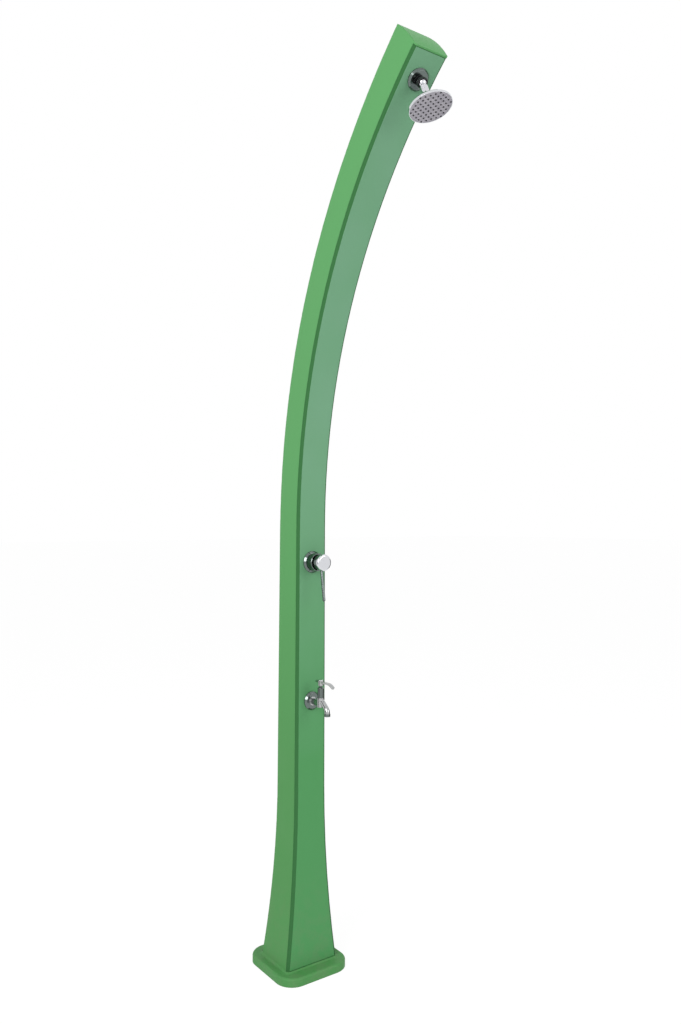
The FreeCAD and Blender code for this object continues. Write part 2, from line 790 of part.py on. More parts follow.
plate_blank = new_body("ground_plate_blank")
plate_sketch = sketch_on(plate_blank, "XY_Plane")
rounded_rectangle(plate_sketch, d.ground_plate_width / 2, d.ground_plate_length / 2, d.ground_plate_corner)
pad(plate_blank, plate_sketch, d.ground_plate_thickness)
tab = box("back_tab", (-d.tab_width / 2, screw_inside - d.tab_thickness, ZERO),
          (d.tab_width / 2, screw_inside, d.tab_height))
anchor_holes = [cylinder(f"anchor_hole_{i}{j}", d.anchor_hole, size(-1), d.ground_plate_thickness + 1,
                         x=i * d.anchor_spacing / 2, y=j * d.anchor_spacing / 2)
                for i in (-1, 1) for j in (-1, 1)]
tab_holes = [cylinder(f"tab_hole_{i}", d.foot_screw_radius + d.screw_play, -screw_wall - d.tab_thickness - 1,
                      -screw_wall + 1, frame) for i, frame in enumerate(screw_frames)]
node(cut("ground_plate", fuse("plate_and_tab", [plate_blank, tab]), fuse("plate_holes", anchor_holes + tab_holes)))

screw_end = -screw_wall - d.tab_thickness - d.nut_height
foot_screws = [turned(f"foot_screw_{i}", [
    (0, screw_end),
    (d.foot_screw_radius, screw_end),
    (d.foot_screw_radius, 0),
    (d.screw_head_radius, 0),
    (d.screw_head_radius, d.screw_head_height / 2),
    (d.screw_head_radius / 2, d.screw_head_height),
    (0, d.screw_head_height),
], frame) for i, frame in enumerate(screw_frames)]
node(group("foot_screws", foot_screws))
foot_nuts = [hex_nut(f"foot_nut_{i}", d.screw_head_radius, d.foot_screw_radius + SLIP,
                     -screw_wall - d.tab_thickness - d.nut_height / 2, -screw_wall - d.tab_thickness, frame)
             for i, frame in enumerate(screw_frames)]
node(group("foot_screw_nuts", foot_nuts))

inlet_end = -inlet_wall - d.nut_height - 3
collar_top = d.washer_thickness + 5
thread_end = collar_top + d.inlet_thread_length
for name, frame in inlet_frames.items():
    node(turned(f"{name}_inlet", [
        (d.waterway, inlet_end),
        (d.shank_radius, inlet_end),
        (d.shank_radius, d.washer_thickness),
        (d.inlet_collar, d.washer_thickness),
        (d.inlet_collar, collar_top),
        (d.inlet_thread, collar_top),
        (d.inlet_thread, thread_end),
        (d.inlet_bore, thread_end),
        (d.inlet_bore, ZERO),
        (d.waterway, ZERO),
    ], frame))
node(group("inlet_washers", [
    washer(f"{name}_washer", d.shank_radius + PLAY, d.inlet_collar, 0, d.washer_thickness, frame)
    for name, frame in inlet_frames.items()]))
node(group("inlet_nuts", [
    hex_nut(f"{name}_nut", d.nut_radius, d.shank_radius + SLIP, -inlet_wall - d.nut_height, -inlet_wall, frame)
    for name, frame in inlet_frames.items()]))


# ---------------------------------------------------------------- wall fittings shared by all three


def wall_fitting(name, shank, frame, lift=ZERO, radius=d.rosette_radius):
    """The rubber gasket, the round cover plate and the nut behind the panel of one fitting."""
    seat = lift + d.washer_thickness
    top = lift + rosette_top
    node(washer(f"{name}_gasket", shank + d.shank_play, radius - 3, lift, seat, frame))
    node(turned(f"{name}_rosette", [
        (shank + PLAY, seat),
        (radius, seat),
        (radius, seat + d.rosette_edge),
        (radius - 4, top),
        (shank + PLAY, top),
    ], frame))
    node(hex_nut(f"{name}_backnut", shank + nut_rim, shank + SLIP, -d.panel_thickness - d.nut_height,
                 -d.panel_thickness, frame))


rosette_top = d.washer_thickness + d.rosette_height
gasket_radius = d.rosette_radius - 3
nut_rim = d.nut_radius - d.shank_radius
branch_bore = d.waterway * 0.8
fitting_back = lane_out - d.hose_nut_radius - 2
hose_nuts = []


def hose_nut(name, frame):
    """A hose's end nut: local +Z points away from the port that it closes on."""
    hose_nuts.append(washer(f"hose_nut_{name}", d.hose_radius + PLAY, d.hose_nut_radius, 0, d.hose_nut_length, frame))
    return frame


# ---------------------------------------------------------------- mixer

manifold_front = lane_out + d.manifold_depth / 2
manifold_back = lane_out - d.manifold_depth / 2
shank_end = manifold_front - d.socket_depth
pivot = d.mixer_body_length
cartridge_floor = pivot - d.cartridge_ball - d.cartridge_length
cartridge_top = pivot - d.cartridge_ball
wall_fitting("mixer", d.mixer_shank_radius, mixer_frame)
node(turned("mixer_body", [
    (d.waterway, shank_end),
    (d.mixer_shank_radius, shank_end),
    (d.mixer_shank_radius, rosette_top),
    (d.mixer_body_radius, rosette_top),
    (d.mixer_body_radius, pivot - 1),
    (d.mixer_body_radius - 1, pivot),
    (d.cartridge_radius + 2 * PLAY, pivot),
    (d.cartridge_radius + 2 * PLAY, cartridge_floor),
    (d.waterway, cartridge_floor),
], mixer_frame))
socket = d.cartridge_ball + d.ball_play
node(turned("mixer_cartridge", [
    (0, cartridge_floor),
    (d.cartridge_radius, cartridge_floor),
    (d.cartridge_radius, cartridge_top),
    (d.cartridge_boss, cartridge_top),
    (d.cartridge_boss, pivot - 1),
    (root(socket * socket - 1), pivot - 1, (socket, ZERO, pivot, -1)),
    (0, pivot - socket),
], mixer_frame))
node(washer("cartridge_nut", d.cartridge_boss + 4 * PLAY, d.cartridge_radius + PLAY, cartridge_top,
            pivot - d.ball_play, mixer_frame))
dome_inner = d.dome_radius - d.dome_wall
node(turned("cartridge_dome", [
    (dome_inner, pivot),
    (d.dome_radius, pivot, (d.dome_radius, ZERO, pivot, 1)),
    (d.dome_mouth, pivot + root(d.dome_radius * d.dome_radius - d.dome_mouth * d.dome_mouth)),
    (d.dome_mouth, pivot + root(dome_inner * dome_inner - d.dome_mouth * d.dome_mouth), (dome_inner, ZERO, pivot, -1)),
], mixer_frame))
sleeve_back = pivot + d.sleeve_gap
sleeve_front = sleeve_back + d.sleeve_length
sleeve_bore = d.sleeve_radius - d.sleeve_wall
web_back = sleeve_back + d.sleeve_length / 2
web_front = web_back + d.web_thickness
stem_root = root(d.cartridge_ball * d.cartridge_ball - d.stem_radius * d.stem_radius)
node(turned("cartridge_stem", [
    (0, pivot - d.cartridge_ball, (d.cartridge_ball, ZERO, pivot, 1)),
    (d.stem_radius, pivot + stem_root),
    (d.stem_radius, web_front),
    (0, web_front),
], mixer_frame))
sleeve = turned("sleeve_blank", [
    (sleeve_bore, sleeve_back),
    (d.sleeve_radius, sleeve_back),
    (d.sleeve_radius, sleeve_front),
    (sleeve_bore, sleeve_front),
    (sleeve_bore, web_front),
    (d.stem_radius + PLAY, web_front),
    (d.stem_radius + PLAY, web_back),
    (sleeve_bore, web_back),
], mixer_frame)
lever_out = sleeve_back + d.sleeve_length * 0.4
lever_frame = mixer_frame.shifted(ZERO, PLAY - d.sleeve_radius + d.sleeve_wall / 2, lever_out)
lever_frame = lever_frame.turned_by(90 - d.lever_slant)
node(cut("mixer_sleeve", sleeve, cylinder("lever_hole", d.lever_radius + PLAY, ZERO, d.sleeve_radius, lever_frame)))
node(turned("mixer_lever", [
    (0, 0),
    (d.lever_radius, 0),
    (d.lever_radius, d.lever_length - d.lever_radius, (d.lever_radius, ZERO, d.lever_length - d.lever_radius, 1)),
    (0, d.lever_length),
], lever_frame))
cap_end = sleeve_front + d.cap_length
cap_shoulder = cap_end - d.cap_edge_round
cap_flat = d.cap_radius - d.cap_edge_round
node(turned("mixer_cap", [
    (0, web_front + 1),
    (sleeve_bore - PLAY, web_front + 1),
    (sleeve_bore - PLAY, sleeve_front),
    (d.cap_radius, sleeve_front),
    (d.cap_radius, cap_shoulder, (d.cap_edge_round, cap_flat, cap_shoulder, 1)),
    (cap_flat, cap_end),
    (0, cap_end),
], mixer_frame))

manifold_rise = d.manifold_height / 2
block = box("manifold_block", (-d.manifold_width / 2, -manifold_rise, manifold_back),
            (d.manifold_width / 2, manifold_rise, manifold_front), mixer_frame)
port_roots = {
    "out": mixer_frame.shifted(ZERO, manifold_rise, lane_out).turned_by(-90),
    "cold": mixer_frame.shifted(-d.port_spacing / 2, -manifold_rise, lane_out).turned_by(90),
    "hot": mixer_frame.shifted(d.port_spacing / 2, -manifold_rise, lane_out).turned_by(90),
}
stubs = [cylinder(f"manifold_{name}_stub", d.hose_nut_radius, ZERO, d.port_length, frame)
         for name, frame in port_roots.items()]
bores = [cylinder(f"manifold_{name}_bore", d.waterway, -manifold_rise, d.port_length + 1, frame)
         for name, frame in port_roots.items()]
bores += [
    cylinder("manifold_chamber", d.mixer_shank_radius - 2, lane_out - d.waterway, manifold_front, mixer_frame),
    cylinder("manifold_socket", d.mixer_shank_radius + SLIP, shank_end, manifold_front + 1, mixer_frame),
]
node(cut("mixer_manifold", fuse("manifold_solid", [block] + stubs), fuse("manifold_hollows", bores)))
mixer_ports = {name: hose_nut(f"mixer_{name}", frame.shifted(ZERO, ZERO, d.port_length))
               for name, frame in port_roots.items()}


# ---------------------------------------------------------------- foot-wash tap


def bent_tube(label, radius, bend, angle, frame):
    """A tube bent about local X: it starts at y = bend along local +Z and turns towards -Y."""
    body = new_body(label)
    sketch = sketch_on(body, "XY_Plane")
    circle = Part.Circle(FreeCAD.Vector(0, bend.value, 0), FreeCAD.Vector(0, 0, 1), radius.value)
    edge = sketch.addGeometry(circle, False)
    pin_point(sketch, edge, 3, ZERO, bend)
    index = sketch.addConstraint(Sketcher.Constraint("Radius", edge, radius.value))
    bind(sketch, f"Constraints[{index}]", radius)
    feature = body.newObject("PartDesign::Revolution", f"{label}_turn")
    feature.Profile = sketch
    feature.ReferenceAxis = (sketch, ["H_Axis"])
    bind(feature, "Angle", angle)
    return frame.place(body)


wall_fitting("tap", d.shank_radius, tap_frame, radius=d.tap_rosette_radius)
tee_front = lane_out + d.manifold_depth / 2
tap_shank_end = tee_front - d.socket_depth
tap_axis = Frame(0, front_y - d.tap_reach, tap_z, 0)
shank = turned("tap_shank", [
    (0, tap_shank_end),
    (d.shank_radius, tap_shank_end),
    (d.shank_radius, rosette_top),
    (d.tap_neck_radius, rosette_top),
    (d.tap_neck_radius, d.tap_reach),
    (0, d.tap_reach),
], tap_frame)
tap_chamber = cylinder("tap_chamber", d.tap_chamber_radius, -d.tap_chamber_low, d.tap_chamber_high, tap_axis)
spout_out = d.tap_reach + d.tap_chamber_radius / 2
spout_start = tap_frame.shifted(ZERO, d.spout_above_axis, spout_out).turned_by(d.spout_slope)
spout_turn = spout_start.shifted(ZERO, -d.spout_bend, d.spout_run)
spout_end = spout_turn.turned_by(90 - d.spout_slope).shifted(ZERO, d.spout_bend, ZERO)
spout = [
    cylinder("spout_run", d.spout_radius, ZERO, d.spout_run, spout_start),
    bent_tube("spout_curve", d.spout_radius, d.spout_bend, 90 - d.spout_slope, spout_turn),
]
spout_bores = [
    cylinder("spout_run_bore", d.waterway, ZERO, d.spout_run, spout_start),
    bent_tube("spout_curve_bore", d.waterway, d.spout_bend, 90 - d.spout_slope, spout_turn),
    cylinder("tap_chamber_hollow", d.tap_chamber_bore, d.waterway - d.tap_chamber_low, d.tap_chamber_high + 1, tap_axis),
    cylinder("tap_shank_bore", d.waterway, tap_shank_end - 1, d.tap_reach, tap_frame),
]
node(cut("tap_body", fuse("tap_solid", [shank, tap_chamber] + spout), fuse("tap_hollows", spout_bores)))
node(washer("tap_spout_tip", d.waterway, d.spout_tip_radius, 0, d.spout_tip_length, spout_end))

tee_half = d.tee_height / 2
tee_up = tap_frame.shifted(ZERO, ZERO, lane_out).turned_by(-90)
tee_solid = fuse("tee_solid", [
    cylinder("tee_upright", d.hose_nut_radius, -tee_half, tee_half, tee_up),
    cylinder("tee_branch", d.tee_radius, fitting_back, tee_front, tap_frame),
])
tee_hollows = fuse("tee_hollows", [
    cylinder("tee_upright_bore", d.waterway, -tee_half - 1, tee_half + 1, tee_up),
    cylinder("tee_branch_bore", branch_bore, lane_out, tee_front, tap_frame),
    cylinder("tee_socket", d.shank_radius + SLIP, tap_shank_end, tee_front + 1, tap_frame),
])
node(cut("tap_tee", tee_solid, tee_hollows))
tee_top = hose_nut("tee_top", tee_up.shifted(ZERO, ZERO, tee_half))
tee_bottom = hose_nut("tee_bottom", tee_up.turned_by(180).shifted(ZERO, ZERO, tee_half))

bonnet_top = d.tap_chamber_high + d.bonnet_height
hub_low = d.handle_height - d.handle_thickness / 2 - d.hub_height / 2
hub_top = hub_low + d.hub_height
spindle_top = hub_top - d.handle_thickness
spigot_low = d.tap_chamber_high - 8
node(turned("tap_bonnet", [
    (d.spindle_radius + SLIP, spigot_low),
    (d.tap_chamber_bore - PLAY, spigot_low),
    (d.tap_chamber_bore - PLAY, d.tap_chamber_high),
    (d.bonnet_radius, d.tap_chamber_high),
    (d.bonnet_radius, bonnet_top - 3),
    (d.bonnet_radius - 3, bonnet_top),
    (d.spindle_radius + SLIP, bonnet_top),
], tap_axis))
disc_low = spigot_low - 6
node(turned("tap_spindle", [
    (0, disc_low),
    (d.valve_disc_radius, disc_low),
    (d.valve_disc_radius, disc_low + 3),
    (d.spindle_radius, disc_low + 3),
    (d.spindle_radius, spindle_top),
    (0, spindle_top),
], tap_axis))

droop_start = d.handle_droop_radius * sine(d.handle_droop) - d.handle_arm
droop_centre = d.handle_height - d.handle_droop_radius
bar_top = d.handle_height + d.handle_thickness / 2
bar_low = d.handle_height - d.handle_thickness / 2
over = d.handle_droop_radius + d.handle_thickness / 2
below = d.handle_droop_radius - d.handle_thickness / 2
bar = new_body("handle_bar")
bar_sketch = sketch_on(bar, "YZ_Plane")
outline(bar_sketch, [
    (d.handle_tail, bar_low),
    (d.handle_tail, bar_top),
    (droop_start, bar_top, (over, droop_start, droop_centre, 1)),
    (droop_start - over * sine(d.handle_droop), droop_centre + over * cosine(d.handle_droop)),
    (droop_start - below * sine(d.handle_droop), droop_centre + below * cosine(d.handle_droop),
     (below, droop_start, droop_centre, -1)),
    (droop_start, bar_low),
])
pad(bar, bar_sketch, d.handle_width, symmetric=True)
round_edges(bar, d.handle_width * 0.45, lambda edge: abs(edge.Length - DRIVING["handle_thickness"]) < 0.01)
tap_axis.place(bar)
hub = cylinder("handle_hub", d.hub_radius, hub_low, hub_top, tap_axis)
hub_bore = cylinder("handle_bore", d.spindle_radius + SLIP, hub_low - 1, spindle_top, tap_axis)
node(cut("tap_handle", fuse("handle_solid", [bar, hub]), hub_bore))
node(turned("tap_handle_cap", [
    (0, hub_top),
    (d.hub_radius - 1, hub_top),
    (d.hub_radius - 2, hub_top + 1),
    (0, hub_top + 1),
], tap_axis))


# ---------------------------------------------------------------- shower head

# The gasket is flat and the bend is hollow, so the head's fitting stands off by the arc's rise.
head_lift = gasket_radius * gasket_radius / (2 * d.front_bend_radius)
wall_fitting("head", d.shank_radius, head_frame, head_lift)
elbow_front = lane_out + d.elbow_radius
head_shank_end = elbow_front - d.socket_depth
shoulder = head_lift + rosette_top
seat_in = d.ball_radius + d.ball_play
seat_out = seat_in + d.seat_thickness
socket_in = seat_out + PLAY
neck_meets = d.ball_out - root(d.housing_radius * d.housing_radius - d.ball_neck * d.ball_neck)
mouth = d.ball_out + d.housing_mouth


def on_sphere(radius, height):
    """Distance from the axis of a sphere's point at this height."""
    return root(radius * radius - height * height)


node(turned("head_stub", [
    (d.waterway, head_shank_end),
    (d.shank_radius, head_shank_end),
    (d.shank_radius, shoulder),
    (d.shank_radius + 2, shoulder),
    (d.shank_radius + 2, shoulder + 1.2),
    (d.ball_neck, shoulder + 1.2),
    (d.ball_neck, neck_meets, (d.housing_radius, ZERO, d.ball_out, 1)),
    (on_sphere(d.housing_radius, d.housing_mouth), mouth),
    (on_sphere(socket_in, d.housing_mouth), mouth, (socket_in, ZERO, d.ball_out, -1)),
    (d.waterway, d.ball_out - on_sphere(socket_in, d.waterway)),
], head_frame))
elbow_port = head_frame.shifted(ZERO, ZERO, lane_out).turned_by(90)
elbow_reach = d.elbow_radius + d.port_length
node(cut("head_elbow", fuse("elbow_solid", [
    cylinder("elbow_body", d.elbow_radius, fitting_back, elbow_front, head_frame),
    cylinder("elbow_port", d.hose_nut_radius, ZERO, elbow_reach, elbow_port),
]), fuse("elbow_hollows", [
    cylinder("elbow_bore", d.waterway, lane_out - d.waterway, elbow_front, head_frame),
    cylinder("elbow_port_bore", branch_bore, ZERO, elbow_reach + 1, elbow_port),
    cylinder("elbow_socket", d.shank_radius + SLIP, head_shank_end, elbow_front + 1, head_frame),
])))
elbow_end = hose_nut("elbow", elbow_port.shifted(ZERO, ZERO, elbow_reach))

# The head's own axis leaves the ball's centre, pitched forward and rolled aside from straight down.
sink = (sine(d.head_roll), -cosine(d.head_roll) * sine(d.head_pitch), -cosine(d.head_roll) * cosine(d.head_pitch))
slant = root(sink[0] * sink[0] + sink[1] * sink[1])
head_axis = Frame(*head_frame.shifted(ZERO, ZERO, d.ball_out).origin, arc_cosine(sink[2]),
                  axis=(-sink[1] / slant, sink[0] / slant))


node(turned("head_ball_seat", [
    (on_sphere(seat_in, d.seat_back), -d.seat_back),
    (on_sphere(seat_out, d.seat_back), -d.seat_back, (seat_out, ZERO, ZERO, 1)),
    (on_sphere(seat_out, d.seat_front), -d.seat_front),
    (on_sphere(seat_in, d.seat_front), -d.seat_front, (seat_in, ZERO, ZERO, -1)),
], head_axis))
node(turned("head_ball", [
    (d.ball_bore, -on_sphere(d.ball_radius, d.ball_bore), (d.ball_radius, ZERO, ZERO, 1)),
    (d.neck_radius, on_sphere(d.ball_radius, d.neck_radius)),
    (d.neck_radius, d.collar_end),
    (d.ball_bore, d.collar_end),
], head_axis))
node(turned("head_collar", [
    (d.neck_radius + PLAY, d.collar_start),
    (d.collar_radius - 1, d.collar_start),
    (d.collar_radius, d.collar_start + 1),
    (d.collar_radius, d.collar_end),
    (d.neck_radius + PLAY, d.collar_end),
], head_axis))
flare = d.head_drop - d.head_rim - 2 - d.head_throat_end
shell_edge = d.head_throat_radius + flare
inner_flare = flare + d.head_wall
rim_inner = d.head_radius - d.head_wall
flare_drop = root(inner_flare * inner_flare - (shell_edge - rim_inner) * (shell_edge - rim_inner))
node(turned("head_shell", [
    (d.ball_bore, d.collar_end),
    (d.head_throat_radius, d.collar_end),
    (d.head_throat_radius, d.head_throat_end, (flare, shell_edge, d.head_throat_end, -1)),
    (shell_edge, d.head_throat_end + flare),
    (d.head_radius, d.head_drop - d.head_rim),
    (d.head_radius, d.head_drop),
    (rim_inner, d.head_drop),
    (rim_inner, d.head_throat_end + flare_drop, (inner_flare, shell_edge, d.head_throat_end, 1)),
    (d.head_throat_radius - d.head_wall, d.head_throat_end),
    (d.head_throat_radius - d.head_wall, d.collar_end + d.head_wall),
    (d.ball_bore, d.collar_end + d.head_wall),
], head_axis))
plate_front = d.head_drop - 1
node(turned("spray_plate", [
    (0, plate_front - d.spray_plate_thickness),
    (rim_inner - PLAY, plate_front - d.spray_plate_thickness),
    (rim_inner - PLAY, plate_front),
    (0, plate_front),
], head_axis))
nozzles = []
for ring in range(RINGS_OF_NOZZLES + 1):
    for k in range(max(1, 6 * ring)):
        nozzle = doc.addObject("Part::Cone", "nozzle")
        turn = size(60 * k / max(1, ring))
        bind(nozzle, "Radius1", d.nozzle_radius)
        bind(nozzle, "Radius2", d.nozzle_radius * 0.7)
        bind(nozzle, "Height", d.nozzle_height)
        bind(nozzle, "Placement.Base.x", ring * d.nozzle_ring_step * cosine(turn))
        bind(nozzle, "Placement.Base.y", ring * d.nozzle_ring_step * sine(turn))
        bind(nozzle, "Placement.Base.z", plate_front)
        nozzles.append(nozzle)
node(head_axis.place(group("spray_nozzles", nozzles)))


# ---------------------------------------------------------------- hoses inside the column


def point(frame, out=ZERO):
    """The place that lies out along a frame's own Z."""
    return FreeCAD.Vector(*[c.value for c in frame.shifted(ZERO, ZERO, size(out)).origin])


def hose_path(label, points):
    """Straight runs joined by tangent arcs, each as large as its runs and the end nuts allow."""
    nut = d.hose_nut_length.value
    edges = []
    last = points[0]
    radii = []
    for i in range(1, len(points) - 1):
        before, here, after = points[i - 1:i + 2]
        room_in = (here - before).Length - nut if i == 1 else (here - before).Length / 2
        room_out = (after - here).Length - nut if i == len(points) - 2 else (after - here).Length / 2
        towards = (before - here).normalize()
        away = (after - here).normalize()
        half_turn = (math.pi - towards.getAngle(away)) / 2
        tangent = min(room_in, room_out)
        radius = tangent / math.tan(half_turn)
        start = here + towards * tangent
        end = here + away * tangent
        inward = (towards + away).normalize()
        top = here + inward * (radius / math.cos(half_turn) - radius)
        edges.append(Part.makeLine(last, start))
        edges.append(Part.Arc(start, top, end).toShape())
        last = end
        radii.append(radius)
    edges.append(Part.makeLine(last, points[-1]))
    path = doc.addObject("Part::Feature", f"{label}_path")
    path.Shape = Part.Wire(edges)
    print(f"{label}: radii {[round(r) for r in radii]} mm, length {path.Shape.Length:.0f} mm")
    return path


def hose(label, start, middle_points, end):
    """A water-filled hose from one port to another; each port's frame points along its hose."""
    points = [point(start)] + middle_points + [point(end)]
    path = hose_path(label, points)
    ring = doc.addObject("Part::Circle", f"{label}_section")
    bind(ring, "Radius", d.hose_radius)
    start.place(ring)
    sweep = doc.addObject("Part::Sweep", label)
    sweep.Label = label
    sweep.Sections = [ring]
    sweep.Spine = (path, [f"Edge{i + 1}" for i in range(len(path.Shape.Edges))])
    sweep.Solid = True
    hoses.append((sweep, path))
    return node(sweep)


hoses = []
lane = lane_y.value
inlet_ports = {name: hose_nut(f"{name}_inlet", frame.shifted(ZERO, ZERO, inlet_end).turned_by(180))
               for name, frame in inlet_frames.items()}
inlet_x = DRIVING["inlet_spacing"] / 2
port_x = DRIVING["port_spacing"] / 2
inlet_z = DRIVING["inlet_height"]
tap_height = tap_z.value
mixer_height = mixer_z.value
hose("cold_hose", inlet_ports["cold"], [
    FreeCAD.Vector(-inlet_x, lane, inlet_z),
    FreeCAD.Vector(0, lane, tap_height - 120),
], tee_bottom)
hose("cold_link", tee_top, [
    FreeCAD.Vector(0, lane, tap_height + 80),
    FreeCAD.Vector(-port_x, lane, mixer_height - 100),
], mixer_ports["cold"])
hose("hot_hose", inlet_ports["hot"], [
    FreeCAD.Vector(inlet_x, lane, inlet_z),
    FreeCAD.Vector(inlet_x, lane, tap_height + 50),
    FreeCAD.Vector(port_x, lane, mixer_height - 100),
], mixer_ports["hot"])
riser_start = point(mixer_ports["out"])
riser_end = point(elbow_end)
back_along = point(elbow_end, 1) - riser_end
corner = riser_end + back_along * ((lane - riser_end.y) / back_along.y)
hose("riser_hose", mixer_ports["out"], [corner], elbow_end)
node(group("hose_nuts", hose_nuts))


# ---------------------------------------------------------------- checks, then one file for each piece

doc.recompute()
for item in doc.Objects:
    if "Invalid" in item.State or "Error" in item.State:
        raise RuntimeError(f"{item.Label} didn't build")
for piece in NODES:
    if piece.Shape.isNull() or not piece.Shape.isValid() or not piece.Shape.Solids:
        raise RuntimeError(f"{piece.Label} has no valid solid")
for tube, path in hoses:
    section = math.pi * DRIVING["hose_radius"] ** 2
    share = tube.Shape.Volume / (section * path.Shape.Length)
    print(f"{tube.Label}: volume is {share:.4f} of section times length")
if len(NODES) > 60:
    raise RuntimeError("too many pieces")
os.makedirs("parts", exist_ok=True)
for piece in NODES:
    piece.Shape.exportStep(f"parts/{piece.Label}.step")
print(f"{len(NODES)} pieces written")
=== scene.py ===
import bmesh
import bpy
import math
from mathutils import Matrix, Vector


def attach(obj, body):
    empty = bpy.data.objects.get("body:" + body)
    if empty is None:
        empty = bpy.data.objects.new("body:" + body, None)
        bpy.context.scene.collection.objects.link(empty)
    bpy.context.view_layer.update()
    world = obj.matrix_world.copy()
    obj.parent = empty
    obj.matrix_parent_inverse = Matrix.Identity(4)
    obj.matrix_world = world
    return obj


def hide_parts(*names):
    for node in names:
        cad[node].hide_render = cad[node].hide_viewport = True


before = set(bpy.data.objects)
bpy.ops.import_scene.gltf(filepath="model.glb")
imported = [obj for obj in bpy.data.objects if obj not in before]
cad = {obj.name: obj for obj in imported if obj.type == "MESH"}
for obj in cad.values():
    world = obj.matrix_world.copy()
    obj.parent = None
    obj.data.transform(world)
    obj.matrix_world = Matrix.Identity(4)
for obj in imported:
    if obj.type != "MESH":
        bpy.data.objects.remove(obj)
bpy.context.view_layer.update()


# ------------------------------------------------------------------ column
# The column is one hollow moulding of green polyethylene: flared foot, square flange, straight part
# and bend in one piece. Its skin has the fine grain of the mould and a little uneven gloss. It is
# rubbed paler along its edges. Its colour is painted darker towards the foot, in patches: painted
# shade for the light that falls off downwards.

COLUMN_GREEN = (0.118, 0.385, 0.13, 1)
COLUMN_GREEN_SHADED = (0.091, 0.318, 0.094, 1)
COLUMN_RUBBED = (0.19, 0.46, 0.2, 1)
COLUMN_DUST = (0.2, 0.29, 0.16, 1)
COLUMN_ROUGHNESS = 0.52
ROUGHNESS_SPREAD = 0.05             # either way, in patches
SHADE_SPREAD = 0.12                  # how far patches hold the colour back towards the painted shade
RUB_AMOUNT = 0.45                   # how far an edge takes the rubbed colour
DUST_ROUGHNESS = 0.3                # added where dust lies
PLASTIC_IOR = 1.5
PLASTIC_SHINE = 0.18


def new_material(name):
    """A node material with its Principled shader; returns the material, the shader and the tree."""
    material = bpy.data.materials.new(name)
    material.use_nodes = True
    tree = material.node_tree
    return material, tree.nodes["Principled BSDF"], tree


def add(tree, kind, **settings):
    node = tree.nodes.new(kind)
    for name, value in settings.items():
        if name in node.inputs:
            node.inputs[name].default_value = value
        else:
            setattr(node, name, value)
    return node


def object_coordinates(tree, stretch=(1, 1, 1)):
    source = add(tree, "ShaderNodeTexCoord")
    mapping = add(tree, "ShaderNodeMapping", Scale=stretch)
    tree.links.new(source.outputs["Object"], mapping.inputs["Vector"])
    return mapping.outputs["Vector"]


def noise(tree, vector, scale, detail=2.0, roughness=0.5):
    texture = add(tree, "ShaderNodeTexNoise", Scale=scale, Detail=detail, Roughness=roughness)
    tree.links.new(vector, texture.inputs["Vector"])
    return texture.outputs["Fac"]


def remap(tree, value, low, high, to_low=0.0, to_high=1.0):
    """Maps low..high of a value onto to_low..to_high, clamped."""
    node = add(tree, "ShaderNodeMapRange")
    tree.links.new(value, node.inputs["Value"])
    for name, number in (("From Min", low), ("From Max", high), ("To Min", to_low), ("To Max", to_high)):
        node.inputs[name].default_value = number
    return node.outputs["Result"]


def math_node(tree, operation, a, b):
    node = add(tree, "ShaderNodeMath", operation=operation)
    for socket, value in zip(node.inputs, (a, b)):
        if isinstance(value, (int, float)):
            socket.default_value = value
        else:
            tree.links.new(value, socket)
    return node.outputs["Value"]


def blend_colours(tree, mask, first, second):
    """A colour that goes from first to second with the mask."""
    node = add(tree, "ShaderNodeMix", data_type="RGBA")
    tree.links.new(mask, node.inputs["Factor"])
    for socket, colour in ((node.inputs[6], first), (node.inputs[7], second)):
        if isinstance(colour, tuple):
            socket.default_value = colour
        else:
            tree.links.new(colour, socket)
    return node.outputs[2]


def colour_by(tree, shader, mask, first, second):
    """Base colour that goes from first to second with the mask."""
    tree.links.new(blend_colours(tree, mask, first, second), shader.inputs["Base Color"])


def roughness_by(tree, shader, value, low, high, smooth, rough):
    """Roughness that goes from smooth to rough as the value goes from low to high."""
    tree.links.new(remap(tree, value, low, high, smooth, rough), shader.inputs["Roughness"])


def bump_by(tree, shader, height, strength, distance, normal=None):
    """A bump from the height, on top of another normal where one is given."""
    bump = add(tree, "ShaderNodeBump", Strength=strength, Distance=distance)
    tree.links.new(height, bump.inputs["Height"])
    if normal:
        tree.links.new(normal, bump.inputs["Normal"])
    tree.links.new(bump.outputs["Normal"], shader.inputs["Normal"])


def new_group(name, inputs, outputs):
    """An empty shader node group; inputs are (name, kind, value) and outputs are (name, kind)."""
    group = bpy.data.node_groups.new(name, "ShaderNodeTree")
    for label, kind, value in inputs:
        socket = group.interface.new_socket(label, in_out="INPUT", socket_type=kind)
        socket.default_value = value
    for label, kind in outputs:
        group.interface.new_socket(label, in_out="OUTPUT", socket_type=kind)
    return group, group.nodes.new("NodeGroupInput"), group.nodes.new("NodeGroupOutput")


def place_group(tree, group, **values):
    node = tree.nodes.new("ShaderNodeGroup")
    node.node_tree = group
    for name, value in values.items():
        node.inputs[name.replace("_", " ")].default_value = value
    return node


